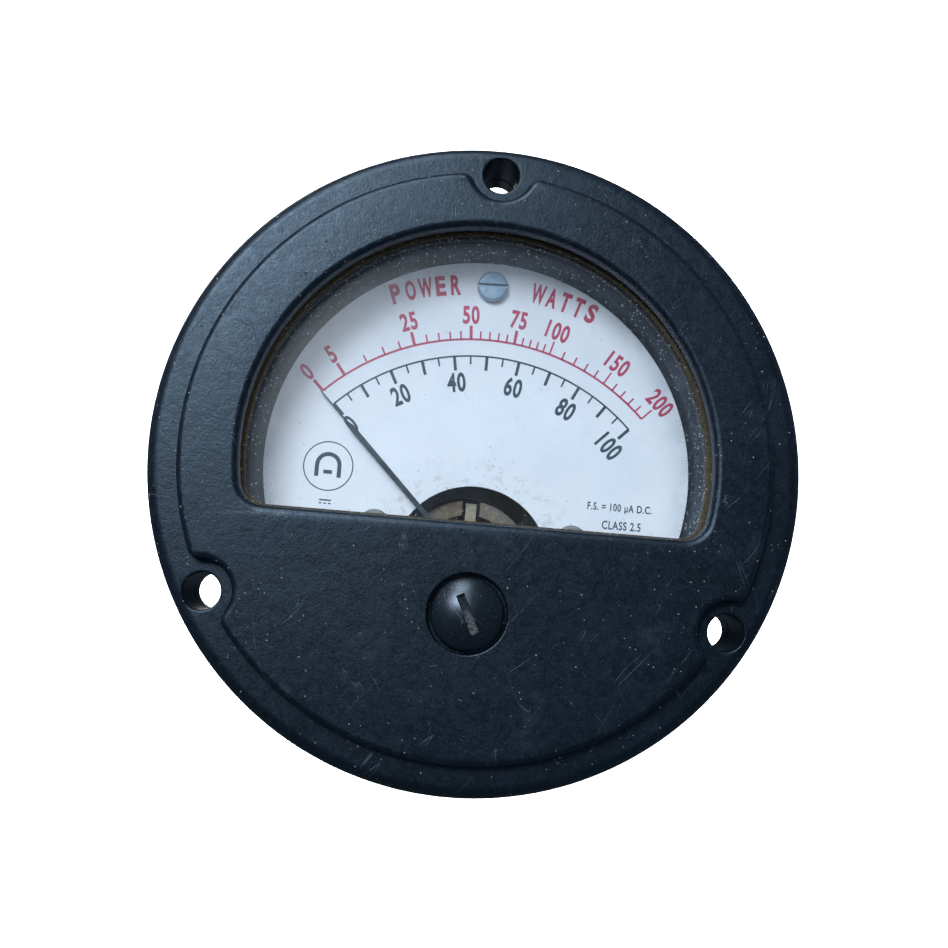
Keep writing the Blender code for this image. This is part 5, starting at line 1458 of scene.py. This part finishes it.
# ------------------------------------------------------------------ terminals
@dataclass
class Terminals:
    """Threaded studs with their nuts and washers, lugs and leads."""

    bench: Bench
    x: float = 12.7 * MM
    y: float = -2.0 * MM
    stud: float = 2.0 * MM
    pitch: float = 0.7 * MM
    thread: float = 0.3 * MM
    end: float = -38.0 * MM
    rear: float = -25.0 * MM
    head: tuple[float, float] = (-21.3 * MM, -19.6 * MM)
    head_half: float = 3.4 * MM
    flats: float = 7.9 * MM
    nut: float = 2.8 * MM
    gap: float = 0.1 * MM
    washer: float = 4.3 * MM
    washer_thickness: float = 0.7 * MM
    lock_washer: float = 3.6 * MM
    lock_thickness: float = 0.9 * MM
    lock_lift: float = 0.12 * MM       # how far a split end is sprung forward

    def threaded_stud(self) -> bpy.types.Mesh:
        """Stud whose surface follows a helical thread, with a square head inside the case."""
        rings_per_turn, facets = 6, 36
        top = self.head[0] + 0.3 * MM
        rings = round((top - self.end) / self.pitch * rings_per_turn)
        profile = [(0, self.end)]
        profile += [(self.stud, self.end + (top - self.end) * i / rings) for i in range(rings + 1)]
        profile += [(0, top)]
        mesh = turned("threaded_stud", profile, facets)
        for vert in mesh.vertices:
            radius = math.hypot(vert.co.x, vert.co.y)
            if radius < self.stud / 2:
                continue
            phase = (vert.co.z - self.end) / self.pitch - math.atan2(vert.co.y, vert.co.x) / math.tau
            groove = abs((phase % 1.0) * 2 - 1)
            depth = self.thread * groove * min(1.0, max(0.0, (top - 2 * MM - vert.co.z) / MM))
            taper = max(0.0, 1 - (vert.co.z - self.end) / (0.6 * MM)) * 0.35 * MM
            shrink = (self.stud - depth - taper) / radius
            vert.co.x *= shrink
            vert.co.y *= shrink
        head = bar("square_head", (2 * self.head_half, 2 * self.head_half, self.head[1] - self.head[0]),
                   (0, 0, (self.head[0] + self.head[1]) / 2), 0, 0.15 * MM)
        return carved("threaded_stud", mesh, [("UNION", head)])

    def hex_nut(self, front: float) -> bpy.types.Mesh:
        """Hexagon nut with both faces chamfered.

        Args:
            front: Level of its face towards the reader.

        Returns:
            The nut's mesh, about its own axis.
        """
        corner = self.flats / math.sqrt(3)
        low = front - self.nut
        body = plate("nut", [circle(corner, 6), circle(self.stud + 0.15 * MM, 36)], low, front)
        ease = corner - self.flats / 2 + 0.12 * MM
        profile = [(0, front), (corner - ease, front), (corner + 0.1 * MM, front - ease * 0.6),
                   (corner + 0.1 * MM, low + ease * 0.6), (corner - ease, low), (0, low)]
        return carved("nut", body, [("INTERSECT", turned("chamfer", profile, 72))])

    def build(self) -> None:
        """Build both terminals."""
        seat = self.rear - self.gap
        washer = seat - self.nut - self.gap
        lock = washer - self.washer_thickness - self.gap
        outer = lock - self.lock_thickness - self.gap
        bore, edge = self.stud + 0.15 * MM, 0.1 * MM
        for side, x, turn in (("left", -self.x, 12.0), ("right", self.x, -7.0)):
            spot = (x, self.y)
            self.bench.piece(f"threaded_stud_{side}", moved(self.threaded_stud(), *spot), Finish.PLATED,
                             stands_for=[f"terminal_stud_{side}"], slot="terminal_brass", smooth=28)
            for name, front, angle in (("seat_nut", seat, turn), ("terminal_nut", outer, turn * 3)):
                mesh = moved(moved(self.hex_nut(front), turn=angle), *spot)
                self.bench.piece(f"{name}_{side}_fine", mesh, Finish.PLATED, stands_for=[f"{name}_{side}"],
                                 slot="terminal_brass", smooth=25)
            back = washer - self.washer_thickness
            ring = [(bore, washer), (self.washer - edge, washer), (self.washer, washer - edge),
                    (self.washer, back + edge), (self.washer - edge, back), (bore, back), (bore, washer)]
            self.bench.piece(f"washer_{side}_fine", turned("washer", ring, 64, spot), Finish.PLATED,
                             stands_for=[f"washer_{side}"], slot="terminal_brass")
            low, high = lock - 0.75 * MM, lock - self.lock_lift
            split = [(bore, low), (self.lock_washer, low), (self.lock_washer, high), (bore, high),
                     (bore, low)]
            spring = moved(turned("spring_washer", split, 60, turn=346.0, lift=self.lock_lift), turn=-83)
            self.bench.piece(f"lock_washer_{side}_fine", moved(spring, *spot), Finish.STEEL,
                             stands_for=[f"lock_washer_{side}"], slot="steel")
            self.bench.dress(Finish.TIN, f"terminal_lug_{side}")
        self.bench.dress(Finish.RED_SLEEVE, "left_lead")
        self.bench.dress(Finish.BLACK_SLEEVE, "right_lead")


# ------------------------------------------------------------------ dust
@dataclass
class Dust:
    """Loose crumbs that lie on the meter."""

    bench: Bench
    case: Case
    dial: Dial
    seed: int = 7
    crumb_points: int = 12
    cover_crumbs: int = 170
    dial_crumbs: int = 110
    window_reach: float = 25.3 * MM
    window_base: float = -6.9 * MM
    recess_reach: float = 4.4 * MM
    notch_reach: float = 3.9 * MM
    step: tuple[float, float] = (29.9 * MM, 31.0 * MM)
    ring_reach: float = 32.4 * MM
    dial_reach: float = 23.2 * MM
    dial_base: float = -8.0 * MM
    screw_reach: float = 1.9 * MM

    def crumb(self, shape: bmesh.types.BMesh, rng: random.Random, place: Vector, size: float) -> None:
        """Add one flat irregular crumb.

        Args:
            shape: Mesh to add it to.
            rng: Source of chance.
            place: Where it lies.
            size: Its radius.
        """
        turn = Matrix.Rotation(rng.uniform(0, math.tau), 4, "Z")
        turn = turn @ Matrix.Rotation(rng.uniform(-0.3, 0.3), 4, "X")
        stretch = (rng.uniform(0.7, 1.6), rng.uniform(0.5, 1.0), rng.uniform(0.25, 0.5), 1)
        bmesh.ops.create_icosphere(shape, subdivisions=1, radius=size,
                                   matrix=Matrix.Translation(place) @ turn @ Matrix.Diagonal(stretch))

    def bare_cover(self, x: float, y: float) -> bool:
        """Tell whether a place on the cover lies in an opening or on an edge."""
        radius = math.hypot(x, y)
        if y > self.window_base and radius < self.window_reach:
            return True
        if math.hypot(x, y + self.case.adjuster_drop) < self.recess_reach:
            return True
        notches = on_circle(self.case.mount_circle, self.case.mount_angles)
        if any(math.hypot(x - a, y - b) < self.notch_reach for a, b in notches):
            return True
        return self.step[0] < radius < self.step[1] or radius > self.ring_reach

    def bare_dial(self, x: float, y: float) -> bool:
        """Tell whether a place lies off the dial or on one of its screws."""
        if math.hypot(x - self.dial.shift, y) > self.dial_reach or y < self.dial_base:
            return True
        return min(math.hypot(x - a, y - b) for a, b in self.dial.screw_spots) < self.screw_reach

    def build_cover(self, rng: random.Random) -> None:
        """Scatter crumbs on the cover's face and ring."""
        cover = bmesh.new()
        while len(cover.verts) < self.crumb_points * self.cover_crumbs:
            radius, angle = 34 * MM * math.sqrt(rng.random()), rng.uniform(0, math.tau)
            x, y = radius * math.cos(angle), radius * math.sin(angle)
            if self.bare_cover(x, y):
                continue
            level = self.case.face_front if radius < 30 * MM else self.case.ring_front
            self.crumb(cover, rng, Vector((x, y, level)), rng.uniform(0.03, 0.085) * MM)
        self.bench.piece("dust_on_cover", mesh_of("dust_on_cover", cover), Finish.CORK, slot="bakelite")

    def build_dial(self, rng: random.Random) -> None:
        """Scatter crumbs on the dial, most of them round its cut-out."""
        dial = bmesh.new()
        while len(dial.verts) < self.crumb_points * self.dial_crumbs:
            angle, reach = rng.uniform(-70, 70), rng.uniform(8.7, 13.0) * MM
            if rng.random() < 0.45:
                angle, reach = rng.uniform(-60, 60), rng.uniform(13, 33) * MM
            x, y = self.dial.at(reach, angle)
            if self.bare_dial(x, y):
                continue
            self.crumb(dial, rng, Vector((x, y, self.dial.front)), rng.uniform(0.02, 0.07) * MM)
        self.bench.piece("dust_on_dial", mesh_of("dust_on_dial", dial), Finish.CEMENT, slot="dial")

    def build(self) -> None:
        """Scatter all the crumbs."""
        rng = random.Random(self.seed)
        self.build_cover(rng)
        self.build_dial(rng)


# ------------------------------------------------------------------ studio
@dataclass
class Studio:
    """Camera, soft lamps, pale floor and backdrop."""

    bench: Bench
    camera_place: tuple[float, float, float] = (-4.656 * MM, -110.775 * MM, -12.992 * MM)
    camera_forward: tuple[float, float, float] = (0.04124862, 0.99275364, 0.11286609)
    camera_up: tuple[float, float, float] = (-0.0854879, -0.10904132, 0.99035439)
    lens: float = 38.07
    floor_level: float = -0.13
    rim_dirt_and_shade: float = -0.06
    wall: float = 0.55
    wall_height: float = 1.6
    bend: float = 0.2
    half_width: float = 1.6

    def build_camera(self) -> None:
        """Camera at the viewing angle."""
        data = bpy.data.cameras.new("camera")
        data.sensor_width = 36.0
        data.lens = self.lens
        data.clip_start = 0.005
        camera = bpy.data.objects.new("camera", data)
        forward = Vector(self.camera_forward).normalized()
        right = forward.cross(Vector(self.camera_up)).normalized()
        up = right.cross(forward)
        turn = Matrix((right, up, -forward)).transposed().to_4x4()
        camera.matrix_world = Matrix.Translation(self.camera_place) @ turn
        bpy.context.scene.collection.objects.link(camera)
        bpy.context.scene.camera = camera

    def lamp(self, name: str, place: Sequence[float], aim: Sequence[float], size: float, power: float,
             colour: Colour = (1.0, 1.0, 1.0), shine: bool = True) -> None:
        """Square soft lamp.

        Args:
            name: Name of the lamp.
            place: Where it hangs.
            aim: Point it faces.
            size: Side of the square.
            power: Watts.
            colour: Colour of its light.
            shine: Whether it leaves highlights.
        """
        data = bpy.data.lights.new(name, "AREA")
        data.size = size
        data.energy = power
        data.color = colour
        lamp = bpy.data.objects.new(name, data)
        lamp.visible_glossy = shine
        direction = Vector(aim) - Vector(place)
        turn = direction.to_track_quat("-Z", "Y").to_matrix().to_4x4()
        lamp.matrix_world = Matrix.Translation(place) @ turn
        bpy.context.scene.collection.objects.link(lamp)

    def build_stage(self) -> None:
        """One sheet that is the floor and curves up behind the meter."""
        shape = bmesh.new()
        bend = arc(self.bend, -90, 0, 13, self.wall - self.bend, self.bend)
        profile = [(self.rim_dirt_and_shade, 0.0), *bend, (self.wall, self.wall_height)]
        verts = [shape.verts.new((-self.half_width, y, self.floor_level + z)) for y, z in profile]
        edges = [shape.edges.new(pair) for pair in zip(verts, verts[1:])]
        moved_edge = bmesh.ops.extrude_edge_only(shape, edges=edges)
        bmesh.ops.translate(shape, vec=(2 * self.half_width, 0, 0),
                            verts=[v for v in moved_edge["geom"] if isinstance(v, bmesh.types.BMVert)])
        mesh = mesh_of("studio_sheet", shape)
        mesh.materials.append(self.bench.paint.get(Finish.STUDIO))
        mesh.shade_smooth()
        sheet = bpy.data.objects.new("studio_sheet", mesh)
        sheet.visible_glossy = False
        sheet.visible_diffuse = False
        bpy.context.scene.collection.objects.link(sheet)

    def build(self) -> None:
        """Set everything up."""
        scene = bpy.context.scene
        scene.view_settings.view_transform = "Standard"
        scene.world = self.soft_world()
        self.build_camera()
        self.build_stage()
        centre = (0.0, 0.0, 0.0)
        self.lamp("key", (-0.215, -0.50, 0.255), centre, 0.22, 2.9, (0.88, 0.93, 1.0))
        self.lamp("high", (-0.12, -0.30, 0.48), centre, 0.22, 1.2, (0.88, 0.94, 1.0))
        self.lamp("fill", (0.05, -0.55, 0.10), centre, 0.35, 1.05, (0.98, 0.94, 0.98), False)
        self.lamp("rear", (-0.25, 0.50, 0.35), centre, 0.40, 1.6)
        for side in (-1, 1):
            self.lamp(f"backdrop_{side}", (0.55 * side, 0.12, 0.35), (0.1 * side, 0.55, 0.0), 0.5, 16.0,
                      shine=False)

    def soft_world(self) -> bpy.types.World:
        """World that lights dimly, and is white where it is seen directly."""
        world = bpy.data.worlds.new("soft_world")
        world.use_nodes = True
        tree = world.node_tree
        dim = tree.nodes["Background"]
        dim.inputs["Color"].default_value = (0.55, 0.78, 1.0, 1.0)
        dim.inputs["Strength"].default_value = 0.11
        white = tree.nodes.new("ShaderNodeBackground")
        white.inputs["Color"].default_value = (1.0, 1.0, 1.0, 1.0)
        white.inputs["Strength"].default_value = 1.0
        path = tree.nodes.new("ShaderNodeLightPath")
        pick = tree.nodes.new("ShaderNodeMixShader")
        tree.links.new(path.outputs["Is Camera Ray"], pick.inputs[0])
        tree.links.new(dim.outputs[0], pick.inputs[1])
        tree.links.new(white.outputs[0], pick.inputs[2])
        tree.links.new(pick.outputs[0], tree.nodes["World Output"].inputs["Surface"])
        return world


# ------------------------------------------------------------------ the meter
def main() -> None:
    """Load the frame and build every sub-assembly."""
    logging.basicConfig(level=logging.INFO, format="%(name)s: %(message)s")
    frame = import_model()
    bench = Bench(frame["nodes"])
    window = WindowSizes()
    case = Case(bench, window)
    dial = Dial(bench)
    case.build()
    Window(bench, window).build()
    ZeroAdjuster(bench).build()
    dial.build()
    Movement(bench).build()
    Terminals(bench).build()
    Dust(bench, case, dial).build()
    Studio(bench).build()
    LOG.info("boxes written")


if __name__ == "__main__":
    main()
